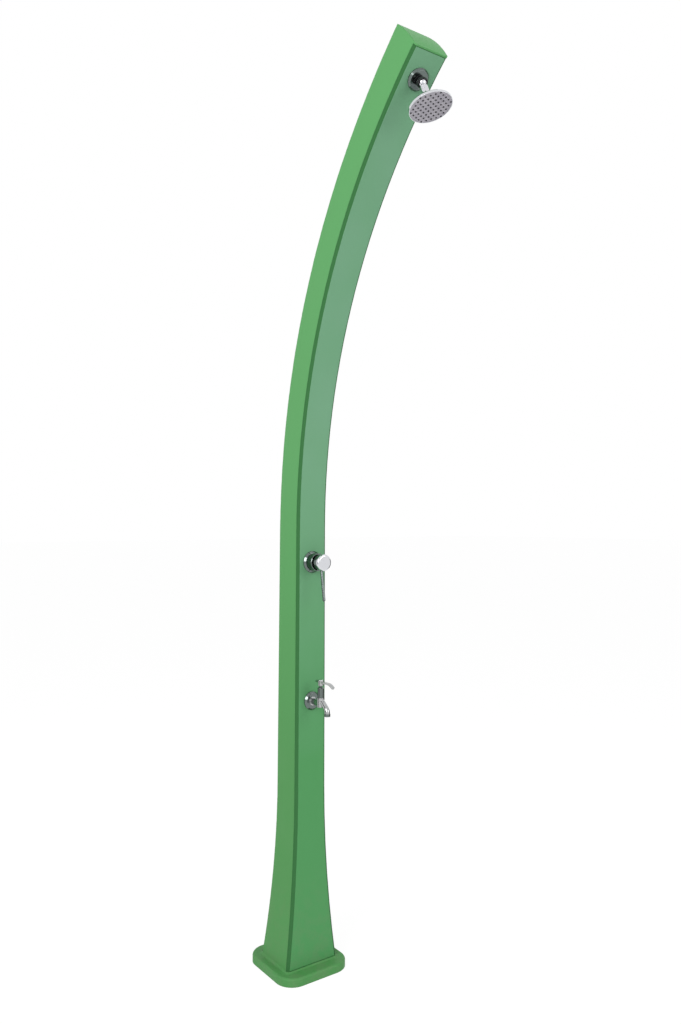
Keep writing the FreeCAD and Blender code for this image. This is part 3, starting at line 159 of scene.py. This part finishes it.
def make_edge_rub():
    """Edges that are handled and brushed: a mask that is 1 on an edge and broken up by noise."""
    group, given, out = new_group(
        "edge rub",
        [("Width", "NodeSocketFloat", 0.002), ("Breakup", "NodeSocketFloat", 60.0)],
        [("Mask", "NodeSocketFloat"), ("Normal", "NodeSocketVector")],
    )
    bevel = add(group, "ShaderNodeBevel", samples=4)
    group.links.new(given.outputs["Width"], bevel.inputs["Radius"])
    geometry = add(group, "ShaderNodeNewGeometry")
    dot = add(group, "ShaderNodeVectorMath", operation="DOT_PRODUCT")
    group.links.new(bevel.outputs["Normal"], dot.inputs[0])
    group.links.new(geometry.outputs["Normal"], dot.inputs[1])
    worn = remap(group, dot.outputs["Value"], 0.99, 0.8)
    vector = object_coordinates(group)
    texture = add(group, "ShaderNodeTexNoise", Detail=3.0)
    group.links.new(vector, texture.inputs["Vector"])
    group.links.new(given.outputs["Breakup"], texture.inputs["Scale"])
    patchy = remap(group, texture.outputs["Fac"], 0.35, 0.65)
    group.links.new(math_node(group, "MULTIPLY", worn, patchy), out.inputs["Mask"])
    group.links.new(bevel.outputs["Normal"], out.inputs["Normal"])
    return group


def make_mould_grain():
    """The skin of moulded plastic: a fine pebble grain over slow waves in the wall."""
    group, given, out = new_group(
        "mould grain",
        [("Grain", "NodeSocketFloat", 900.0), ("Wave", "NodeSocketFloat", 9.0)],
        [("Height", "NodeSocketFloat"), ("Patches", "NodeSocketFloat")],
    )
    vector = object_coordinates(group)
    pebbles = add(group, "ShaderNodeTexVoronoi", feature="SMOOTH_F1")
    group.links.new(vector, pebbles.inputs["Vector"])
    group.links.new(given.outputs["Grain"], pebbles.inputs["Scale"])
    waves = add(group, "ShaderNodeTexNoise", Detail=1.0)
    group.links.new(vector, waves.inputs["Vector"])
    group.links.new(given.outputs["Wave"], waves.inputs["Scale"])
    fine = math_node(group, "MULTIPLY", pebbles.outputs["Distance"], 0.06)
    group.links.new(math_node(group, "ADD", fine, waves.outputs["Fac"]), out.inputs["Height"])
    group.links.new(waves.outputs["Fac"], out.inputs["Patches"])
    return group


def make_ground_dust():
    """Dust and splashed soil that gather low on the post and thin out upwards."""
    group, given, out = new_group(
        "ground dust",
        [("Reach", "NodeSocketFloat", 0.25), ("Amount", "NodeSocketFloat", 0.4)],
        [("Mask", "NodeSocketFloat")],
    )
    source = add(group, "ShaderNodeTexCoord")
    parts = add(group, "ShaderNodeSeparateXYZ")
    group.links.new(source.outputs["Object"], parts.inputs["Vector"])
    height = math_node(group, "DIVIDE", parts.outputs["Z"], given.outputs["Reach"])
    low = math_node(group, "SUBTRACT", 1.0, height)
    clamped = remap(group, low, 0.0, 1.0)
    speckle = noise(group, source.outputs["Object"], 38.0, 6.0, 0.7)
    broken = math_node(group, "MULTIPLY", clamped, remap(group, speckle, 0.42, 0.72))
    group.links.new(math_node(group, "MULTIPLY", broken, given.outputs["Amount"]), out.inputs["Mask"])
    return group


def make_foot_shade():
    """Painted shade for the light that falls off downwards: a mask that is 0 at the shaded foot and 1
    higher up, where the colour is the lit one.
    """
    group, given, out = new_group(
        "painted foot shade",
        [("Low", "NodeSocketFloat", 0.3), ("High", "NodeSocketFloat", 1.3)],
        [("Mask", "NodeSocketFloat")],
    )
    source = add(group, "ShaderNodeTexCoord")
    parts = add(group, "ShaderNodeSeparateXYZ")
    group.links.new(source.outputs["Object"], parts.inputs["Vector"])
    node = add(group, "ShaderNodeMapRange", interpolation_type="SMOOTHSTEP")
    group.links.new(parts.outputs["Z"], node.inputs["Value"])
    group.links.new(given.outputs["Low"], node.inputs["From Min"])
    group.links.new(given.outputs["High"], node.inputs["From Max"])
    group.links.new(node.outputs["Result"], out.inputs["Mask"])
    return group


edge_rub = make_edge_rub()
mould_grain = make_mould_grain()
ground_dust = make_ground_dust()
foot_shade = make_foot_shade()


def moulded_plastic(name, lit_colour, low, rubbed, roughness, edge):
    """Satin moulded polyethylene, painted darker towards the foot in patches as painted shade, with
    rubbed edges and ground dust.
    """
    material, shader, tree = new_material(name)
    grain = place_group(tree, mould_grain)
    rub = place_group(tree, edge_rub, Width=edge)
    dust = place_group(tree, ground_dust)
    shade_gradient = place_group(tree, foot_shade)
    # painted shade: the colour goes from the shaded one at the foot to the lit one higher up, held back
    # towards the shade in patches
    uneven = remap(tree, grain.outputs["Patches"], 0.35, 0.65, -SHADE_SPREAD, 0.0)
    body = blend_colours(tree, math_node(tree, "ADD", shade_gradient.outputs["Mask"], uneven), low, lit_colour)
    rubbing = math_node(tree, "MULTIPLY", rub.outputs["Mask"], RUB_AMOUNT)
    edged = blend_colours(tree, rubbing, body, rubbed)
    colour_by(tree, shader, dust.outputs["Mask"], edged, COLUMN_DUST)
    clean = remap(tree, grain.outputs["Patches"], 0.3, 0.7,
                  roughness - ROUGHNESS_SPREAD, roughness + ROUGHNESS_SPREAD)
    dulled = math_node(tree, "MULTIPLY", dust.outputs["Mask"], DUST_ROUGHNESS)
    tree.links.new(math_node(tree, "ADD", clean, dulled), shader.inputs["Roughness"])
    bump_by(tree, shader, grain.outputs["Height"], 0.35, 0.0006, rub.outputs["Normal"])
    shader.inputs["IOR"].default_value = PLASTIC_IOR
    shader.inputs["Specular IOR Level"].default_value = PLASTIC_SHINE
    return material


def dress(material, *names):
    """Gives CAD pieces their finish."""
    for name in names:
        slots = cad[name].data.materials
        slots.clear()
        slots.append(material)


COLUMN_EDGE = 0.0022                # width of the rubbed edge

column_plastic = moulded_plastic("column plastic", COLUMN_GREEN, COLUMN_GREEN_SHADED, COLUMN_RUBBED,
                                 COLUMN_ROUGHNESS, COLUMN_EDGE)
dress(column_plastic, "column_shell")


# ------------------------------------------------------------------ front panel
# A second moulding fills the column's open front, level with it. Its green is paler and cooler than
# the column's; that paleness is painted sheen, the white surroundings seen at a grazing angle laid
# into its colour. It is painted darker towards the foot as painted shade. Its skin has the same grain
# with a little more gloss.

# painted sheen: the panel's green is made paler and cooler than the column's
PANEL_GREEN_WITH_SHEEN = (0.182, 0.394, 0.234, 1)
PANEL_GREEN_SHADED = (0.09, 0.335, 0.114, 1)
PANEL_RUBBED = (0.24, 0.44, 0.28, 1)
PANEL_ROUGHNESS = 0.48
PANEL_EDGE = 0.0012

panel_plastic = moulded_plastic("panel plastic", PANEL_GREEN_WITH_SHEEN, PANEL_GREEN_SHADED, PANEL_RUBBED,
                                PANEL_ROUGHNESS, PANEL_EDGE)
dress(panel_plastic, "front_panel")


# ------------------------------------------------------------------ dark strip round the panel, painted shade
# A strip of soft plastic closes the joint round the panel. Its dark green is painted shade: it stands
# in for the shadow in the groove between column and panel. Its outer corner is cut off at a slant, and
# it was pressed through a die, which left fine lines along it.

# painted shade: the strip's dark green stands for the shadow in the joint
JOINT_SHADOW_GREEN = (0.036, 0.155, 0.045, 1)
JOINT_SHADOW_LINES_GREEN = (0.05, 0.185, 0.06, 1)
STRIP_SHINE = 0.15

joint_shadow_strip, shader, tree = new_material("dark strip as joint shadow")
drawn = noise(tree, object_coordinates(tree, (40, 40, 1)), 60.0, 4.0, 0.6)
colour_by(tree, shader, remap(tree, drawn, 0.4, 0.7), JOINT_SHADOW_GREEN, JOINT_SHADOW_LINES_GREEN)
roughness_by(tree, shader, drawn, 0.3, 0.7, 0.6, 0.75)
bump_by(tree, shader, drawn, 0.2, 0.0003)
shader.inputs["Specular IOR Level"].default_value = STRIP_SHINE
dress(joint_shadow_strip, "panel_seal")


# ------------------------------------------------------------------ ground plate
# A cut and folded steel plate, dipped in zinc, that is anchored to the ground inside the foot. The
# zinc shows as dull crystals of a few millimetres.

ZINC = (0.5, 0.52, 0.54, 1)
ZINC_DARK = (0.36, 0.38, 0.4, 1)

zinc, shader, tree = new_material("zinc coated steel")
crystals = add(tree, "ShaderNodeTexVoronoi", Scale=160.0)
tree.links.new(object_coordinates(tree), crystals.inputs["Vector"])
tint = add(tree, "ShaderNodeSeparateColor")
tree.links.new(crystals.outputs["Color"], tint.inputs["Color"])
colour_by(tree, shader, tint.outputs["Red"], ZINC_DARK, ZINC)
roughness_by(tree, shader, tint.outputs["Green"], 0.0, 1.0, 0.35, 0.6)
shader.inputs["Metallic"].default_value = 1.0
dress(zinc, "ground_plate")


# ------------------------------------------------------------------ foot screws and nuts
# Two stainless button-head screws hold the back of the foot to the ground plate's tab, with
# hexagon nuts inside.

STEEL = (0.6, 0.6, 0.61, 1)
STEEL_DULL = (0.42, 0.42, 0.43, 1)

stainless, shader, tree = new_material("stainless steel")
lines = noise(tree, object_coordinates(tree, (1, 1, 14)), 700.0, 3.0)
colour_by(tree, shader, lines, STEEL_DULL, STEEL)
roughness_by(tree, shader, lines, 0.3, 0.7, 0.22, 0.36)
shader.inputs["Metallic"].default_value = 1.0
dress(stainless, "foot_screws", "foot_screw_nuts")


# ------------------------------------------------------------------ brass water fittings
# The inlets, backnuts, hose nuts, manifold, tee and elbow are turned from brass and left bare. Fine
# turning lines and darker stains show on them.

BRASS = (0.62, 0.42, 0.15, 1)
BRASS_STAINED = (0.33, 0.21, 0.09, 1)

brass, shader, tree = new_material("turned brass")
stains = remap(tree, noise(tree, object_coordinates(tree), 55.0, 5.0, 0.65), 0.42, 0.7)
colour_by(tree, shader, stains, BRASS, BRASS_STAINED)
roughness_by(tree, shader, stains, 0.0, 1.0, 0.24, 0.5)
turning = noise(tree, object_coordinates(tree, (40, 900, 40)), 1.0, 2.0)
bump_by(tree, shader, turning, 0.15, 0.0003)
shader.inputs["Metallic"].default_value = 1.0
dress(brass, "cold_inlet", "hot_inlet", "inlet_nuts", "mixer_backnut", "tap_backnut", "head_backnut",
      "mixer_manifold", "tap_tee", "head_elbow", "hose_nuts")


# ------------------------------------------------------------------ gaskets and washers
# Black rubber rings, pressed flat, with a dusty bloom.

RUBBER = (0.014, 0.014, 0.015, 1)
RUBBER_BLOOM = (0.05, 0.05, 0.052, 1)

rubber, shader, tree = new_material("black rubber")
bloom = noise(tree, object_coordinates(tree), 260.0, 4.0, 0.6)
colour_by(tree, shader, remap(tree, bloom, 0.4, 0.8), RUBBER, RUBBER_BLOOM)
roughness_by(tree, shader, bloom, 0.3, 0.7, 0.6, 0.8)
dress(rubber, "inlet_washers", "mixer_gasket", "tap_gasket", "head_gasket")


# ------------------------------------------------------------------ chromed fittings
# The two caps and the head with its ball and collar are bright chrome. The cover plates, the mixer,
# its lever and the tap's bonnet, spindle and tip are chrome whose colour is painted reflection: dark,
# with a green tint for the green panel that they face. The tap's body and handle have a satin plating,
# whose spots take that same painted reflection colour. Dried water leaves dull spots on them.

CHROME = (0.68, 0.69, 0.72, 1)
CHROME_SPOT = (0.55, 0.55, 0.58, 1)
CHROME_SATIN = (0.44, 0.45, 0.45, 1)
# painted reflection: a dark colour with a green tint, standing in for the green panel that the plating
# reflects
CHROME_GREEN_REFLECTION = (0.15, 0.18, 0.17, 1)
CHROME_GREEN_REFLECTION_SPOT = (0.1, 0.115, 0.11, 1)
SPOT_ROUGHNESS = 0.2                # added where a drop has dried
CHROME_EDGE = 0.0006                # width of the softened edge


def make_water_marks():
    """Dried drops on plating: round faint spots and a slow unevenness of the polish."""
    group, given, out = new_group(
        "water marks",
        [("Spots", "NodeSocketFloat", 240.0), ("Polish", "NodeSocketFloat", 70.0)],
        [("Mask", "NodeSocketFloat"), ("Height", "NodeSocketFloat")],
    )
    vector = object_coordinates(group)
    drops = add(group, "ShaderNodeTexVoronoi", feature="F1", Randomness=1.0)
    group.links.new(vector, drops.inputs["Vector"])
    group.links.new(given.outputs["Spots"], drops.inputs["Scale"])
    rings = remap(group, drops.outputs["Distance"], 0.3, 0.18)
    sparse = remap(group, noise(group, vector, 45.0, 2.0), 0.5, 0.62)
    group.links.new(math_node(group, "MULTIPLY", rings, sparse), out.inputs["Mask"])
    polish = add(group, "ShaderNodeTexNoise", Detail=2.0)
    group.links.new(vector, polish.inputs["Vector"])
    group.links.new(given.outputs["Polish"], polish.inputs["Scale"])
    group.links.new(polish.outputs["Fac"], out.inputs["Height"])
    return group


water_marks = make_water_marks()


def chrome_plate(name, colour, spot, rough):
    material, shader, tree = new_material(name)
    marks = place_group(tree, water_marks)
    colour_by(tree, shader, marks.outputs["Mask"], colour, spot)
    roughness_by(tree, shader, marks.outputs["Mask"], 0.0, 1.0, rough, rough + SPOT_ROUGHNESS)
    rub = place_group(tree, edge_rub, Width=CHROME_EDGE)
    bump_by(tree, shader, marks.outputs["Height"], 0.12, 0.0004, rub.outputs["Normal"])
    shader.inputs["Metallic"].default_value = 1.0
    return material


chrome = chrome_plate("chrome plate", CHROME, CHROME_SPOT, 0.07)
dress(chrome, "mixer_cap", "tap_handle_cap", "head_ball", "head_collar", "head_shell")
reflection_painted_chrome = chrome_plate("chrome plate with painted reflection", CHROME_GREEN_REFLECTION, CHROME_GREEN_REFLECTION_SPOT, 0.13)
dress(reflection_painted_chrome, "mixer_rosette", "tap_rosette", "head_rosette", "mixer_body", "cartridge_dome",
      "cartridge_nut", "cartridge_stem", "mixer_sleeve", "mixer_lever", "tap_bonnet", "tap_spindle",
      "tap_spout_tip")
satin_chrome = chrome_plate("satin chrome plate", CHROME_SATIN, CHROME_GREEN_REFLECTION, 0.16)
dress(satin_chrome, "tap_body", "tap_handle")


# ------------------------------------------------------------------ ball housing
# The head's shank and the round housing of its ball are moulded in glossy black plastic, with faint
# swirls where the polish of the mould was uneven.

HOUSING_BLACK = (0.012, 0.012, 0.014, 1)
HOUSING_SCUFF = (0.03, 0.03, 0.032, 1)

black_plastic, shader, tree = new_material("glossy black plastic")
swirl = noise(tree, object_coordinates(tree), 150.0, 4.0, 0.6)
colour_by(tree, shader, remap(tree, swirl, 0.5, 0.7), HOUSING_BLACK, HOUSING_SCUFF)
roughness_by(tree, shader, swirl, 0.3, 0.7, 0.1, 0.22)
dress(black_plastic, "head_stub")


# ------------------------------------------------------------------ white plastic inner pieces
# The mixer's cartridge and the ball's seat ring are moulded in white engineering plastic.

WHITE = (0.75, 0.75, 0.72, 1)
WHITE_SHADE = (0.62, 0.62, 0.58, 1)

white_plastic, shader, tree = new_material("white plastic")
tone = noise(tree, object_coordinates(tree), 120.0, 3.0)
colour_by(tree, shader, tone, WHITE_SHADE, WHITE)
roughness_by(tree, shader, tone, 0.3, 0.7, 0.38, 0.5)
dress(white_plastic, "mixer_cartridge", "head_ball_seat")


# ------------------------------------------------------------------ hoses
# Rubber hoses in a sleeve of woven steel wire run inside the column, out of sight.

BRAID = (0.42, 0.43, 0.45, 1)
BRAID_GAP = (0.05, 0.05, 0.055, 1)

braid, shader, tree = new_material("woven steel braid")
wires = add(tree, "ShaderNodeTexChecker", Scale=620.0)
tree.links.new(object_coordinates(tree, (1, 1, 0.6)), wires.inputs["Vector"])
colour_by(tree, shader, wires.outputs["Fac"], BRAID_GAP, BRAID)
roughness_by(tree, shader, wires.outputs["Fac"], 0.0, 1.0, 0.7, 0.35)
bump_by(tree, shader, wires.outputs["Fac"], 0.5, 0.0004)
shader.inputs["Metallic"].default_value = 0.7
dress(braid, "cold_hose", "cold_link", "hot_hose", "riser_hose")


# ------------------------------------------------------------------ spray face
# The face of the head is a plastic plate in a half metallic grey, set a little back in the chromed
# rim and worn paler in patches.

SPRAY_GREY = (0.42, 0.4, 0.45, 1)
SPRAY_GREY_WORN = (0.52, 0.5, 0.54, 1)
NOZZLE = (0.03, 0.028, 0.035, 1)
NOZZLE_LIME = (0.3, 0.3, 0.3, 1)

spray_grey, shader, tree = new_material("spray plate plastic")
wear = noise(tree, object_coordinates(tree), 85.0, 4.0, 0.6)
colour_by(tree, shader, remap(tree, wear, 0.4, 0.7), SPRAY_GREY, SPRAY_GREY_WORN)
roughness_by(tree, shader, wear, 0.3, 0.7, 0.25, 0.4)
shader.inputs["Metallic"].default_value = 0.5
dress(spray_grey, "spray_plate")


# ------------------------------------------------------------------ nozzles
# Soft dark rubber nozzles come through the spray plate in straight rows, each on a low boss, so
# that lime can be rubbed off them. Lime has dried on some.

BALL_PLACE = Vector((0, -0.496834, 2.058718))
HEAD_PITCH = math.radians(18.4)
HEAD_ROLL = math.radians(4.0)
PLATE_FRONT = 0.072                 # from the ball's centre
NOZZLE_STEP = 0.0118                # from one nozzle to the next in its row
NOZZLE_RINGS = 4                    # round the one in the middle
NOZZLE_BASE = 0.0026
NOZZLE_TIP = 0.0016
NOZZLE_HEIGHT = 0.0024
WELL_OUTER = 0.0042
WELL_TAPER = 0.8                    # top of a boss, as a share of its base
WELL_HEIGHT = 0.0007
NOZZLE_SIDES = 14
WELL_SIDES = 18
ROW_TURN = math.radians(160)

head_axis = Vector((math.sin(HEAD_ROLL), -math.cos(HEAD_ROLL) * math.sin(HEAD_PITCH),
                    -math.cos(HEAD_ROLL) * math.cos(HEAD_PITCH)))
across = head_axis.cross(Vector((0, 1, 0))).normalized()
along = head_axis.cross(across)
row = across * math.cos(ROW_TURN) + along * math.sin(ROW_TURN)
column_step = head_axis.cross(row)
plate_middle = BALL_PLACE + head_axis * PLATE_FRONT


def nozzle_places():
    """A six-sided grid of straight rows, centred on the plate."""
    for q in range(-NOZZLE_RINGS, NOZZLE_RINGS + 1):
        for r in range(-NOZZLE_RINGS, NOZZLE_RINGS + 1):
            if abs(q + r) <= NOZZLE_RINGS:
                shift = (q + r / 2) * row + r * math.sqrt(3) / 2 * column_step
                yield plate_middle + shift * NOZZLE_STEP


def nozzle_piece(name, shape):
    """One mesh of small turned shapes, one at each nozzle's place, with local +Z out of the plate."""
    turn = head_axis.to_track_quat("Z", "Y").to_matrix().to_4x4()
    mesh = bpy.data.meshes.new(name)
    bm = bmesh.new()
    for place in nozzle_places():
        shape(bm, Matrix.Translation(place) @ turn)
    bm.to_mesh(mesh)
    bm.free()
    piece = bpy.data.objects.new(name, mesh)
    bpy.context.scene.collection.objects.link(piece)
    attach(piece, "head")
    return piece


def nozzle_shape(bm, place):
    rise = Matrix.Translation((0, 0, NOZZLE_HEIGHT / 2))
    bmesh.ops.create_cone(bm, cap_ends=True, segments=NOZZLE_SIDES, radius1=NOZZLE_BASE,
                          radius2=NOZZLE_TIP, depth=NOZZLE_HEIGHT, matrix=place @ rise)


def well_shape(bm, place):
    rise = Matrix.Translation((0, 0, WELL_HEIGHT / 2))
    bmesh.ops.create_cone(bm, cap_ends=True, segments=WELL_SIDES, radius1=WELL_OUTER,
                          radius2=WELL_OUTER * WELL_TAPER, depth=WELL_HEIGHT, matrix=place @ rise)


nozzle_rubber, shader, tree = new_material("nozzle rubber")
lime = noise(tree, object_coordinates(tree), 900.0, 2.0)
colour_by(tree, shader, remap(tree, lime, 0.62, 0.75), NOZZLE, NOZZLE_LIME)
roughness_by(tree, shader, lime, 0.3, 0.7, 0.45, 0.65)
nozzles = nozzle_piece("spray_nozzle_rows", nozzle_shape)
nozzles.data.materials.append(nozzle_rubber)
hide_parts("spray_nozzles")
wells = nozzle_piece("spray_nozzle_wells", well_shape)
wells.data.materials.append(spray_grey)


# ------------------------------------------------------------------ floor and backdrop
# A plain pale floor and a white backdrop, which lights the scene at half of the brightness that it
# shows. To the camera and in reflections most of the floor's brightness is its own, so that it meets
# the backdrop without a line.

FLOOR_REACH = 40
FLOOR_PALE = (0.86, 0.86, 0.86, 1)
FLOOR_ROUGHNESS = 0.9
FLOOR_GLOW = 1.12
FLOOR_GLOW_SHARE = 0.8
BACKDROP_WHITE = (1, 1, 1, 1)
WORLD_LIGHT = 0.5


def seen_directly(tree):
    """1 for what the camera, a reflection or a clear material sees, and 0 for light on surfaces."""
    ray = add(tree, "ShaderNodeLightPath")
    seen = math_node(tree, "MAXIMUM", ray.outputs["Is Camera Ray"], ray.outputs["Is Glossy Ray"])
    return math_node(tree, "MAXIMUM", seen, ray.outputs["Is Transmission Ray"])


bm = bmesh.new()
bmesh.ops.create_grid(bm, x_segments=1, y_segments=1, size=FLOOR_REACH)
floor_mesh = bpy.data.meshes.new("floor")
bm.to_mesh(floor_mesh)
bm.free()
floor = bpy.data.objects.new("floor", floor_mesh)
bpy.context.scene.collection.objects.link(floor)

floor_paint, shader, tree = new_material("pale floor")
shader.inputs["Base Color"].default_value = FLOOR_PALE
shader.inputs["Roughness"].default_value = FLOOR_ROUGHNESS
glow = add(tree, "ShaderNodeEmission", Color=BACKDROP_WHITE, Strength=FLOOR_GLOW)
mixed = add(tree, "ShaderNodeMixShader")
tree.links.new(math_node(tree, "MULTIPLY", seen_directly(tree), FLOOR_GLOW_SHARE), mixed.inputs["Fac"])
tree.links.new(shader.outputs["BSDF"], mixed.inputs[1])
tree.links.new(glow.outputs["Emission"], mixed.inputs[2])
tree.links.new(mixed.outputs["Shader"], tree.nodes["Material Output"].inputs["Surface"])
floor.data.materials.append(floor_paint)

world = bpy.data.worlds.new("studio")
world.use_nodes = True
bpy.context.scene.world = world
tree = world.node_tree
background = tree.nodes["Background"]
strength = remap(tree, seen_directly(tree), 0.0, 1.0, WORLD_LIGHT, 1.0)
background.inputs["Color"].default_value = BACKDROP_WHITE
tree.links.new(strength, background.inputs["Strength"])


# ------------------------------------------------------------------ lamps
# A large soft lamp from the left and front lights the column's flank. One of half its power lights
# the panel from the front and right, and a faint broad one stands above.

LEFT_LAMP_PLACE = (-3.0, -1.6, 2.3)
LEFT_LAMP_WATTS = 66
FRONT_LAMP_PLACE = (1.4, -3.6, 2.2)
FRONT_LAMP_WATTS = 32
TOP_LAMP_PLACE = (0.4, 0.6, 4.4)
TOP_LAMP_WATTS = 5


def soft_lamp(name, place, aim, width, power):
    light = bpy.data.lights.new(name, "AREA")
    light.shape = "DISK"
    light.size = width
    light.energy = power
    lamp = bpy.data.objects.new(name, light)
    lamp.location = place
    lamp.rotation_euler = (Vector(aim) - Vector(place)).to_track_quat("-Z", "Y").to_euler()
    bpy.context.scene.collection.objects.link(lamp)


soft_lamp("left lamp", LEFT_LAMP_PLACE, (0, 0, 1.3), 2.0, LEFT_LAMP_WATTS)
soft_lamp("front lamp", FRONT_LAMP_PLACE, (0, -0.1, 1.2), 2.2, FRONT_LAMP_WATTS)
soft_lamp("top lamp", TOP_LAMP_PLACE, (0, 0, 1.0), 3.0, TOP_LAMP_WATTS)


# ------------------------------------------------------------------ dark flags
# Two black cards stand beside the post, as in a photographer's studio. Only reflections show them,
# which gives the plated fittings the dark halves that they have in the photograph.

FLAG_BLACK = (0.01, 0.01, 0.012, 1)
RIGHT_FLAG = ((1.7, -1.6), (2.4, 0.6))      # the two ends of its foot on the floor
RIGHT_FLAG_HEIGHT = 1.3
LEFT_FLAG = ((-2.6, 0.9), (-2.6, -0.3))
LEFT_FLAG_HEIGHT = 3.2


def flag(name, foot, height):
    """A black card that stands on the floor between the two ends of its foot."""
    (x1, y1), (x2, y2) = foot
    corners = [(x1, y1, 0.0), (x2, y2, 0.0), (x2, y2, height), (x1, y1, height)]
    mesh = bpy.data.meshes.new(name)
    bm = bmesh.new()
    bm.faces.new([bm.verts.new(corner) for corner in corners])
    bm.to_mesh(mesh)
    bm.free()
    card = bpy.data.objects.new(name, mesh)
    bpy.context.scene.collection.objects.link(card)
    card.data.materials.append(flag_cloth)
    card.visible_camera = False
    card.visible_diffuse = False
    card.visible_shadow = False
    card.visible_transmission = False


flag_cloth, shader, tree = new_material("flag cloth")
shader.inputs["Base Color"].default_value = FLAG_BLACK
shader.inputs["Roughness"].default_value = 1.0
shader.inputs["Specular IOR Level"].default_value = 0.0
flag("right flag", RIGHT_FLAG, RIGHT_FLAG_HEIGHT)
flag("left flag", LEFT_FLAG, LEFT_FLAG_HEIGHT)


# ------------------------------------------------------------------ camera
# The photograph looks up slightly at the post from its front left, about chest high, and its frame
# is cut so that the lens axis lies above the middle of the picture.

FRAME_HEIGHT = 1024                 # pixels of the photograph
FOCAL_PIXELS = 840.89
AXIS_ROW = 400.0
SENSOR_WIDTH = 36                   # millimetres
FAR_LIMIT = 200
CAMERA_PLACE = Vector((-1.2074, -1.8592, 1.0639))
CAMERA_LOOK = Vector((0.5768, 0.8046, 0.1410))

lens = bpy.data.cameras.new("camera")
lens.sensor_width = SENSOR_WIDTH
lens.lens = FOCAL_PIXELS / FRAME_HEIGHT * SENSOR_WIDTH
lens.shift_y = -(FRAME_HEIGHT / 2 - AXIS_ROW) / FRAME_HEIGHT
lens.clip_end = FAR_LIMIT
camera = bpy.data.objects.new("camera", lens)
camera.location = CAMERA_PLACE
camera.rotation_euler = CAMERA_LOOK.to_track_quat("-Z", "Y").to_euler()
bpy.context.scene.collection.objects.link(camera)
bpy.context.scene.camera = camera
bpy.context.scene.view_settings.view_transform = "Standard"
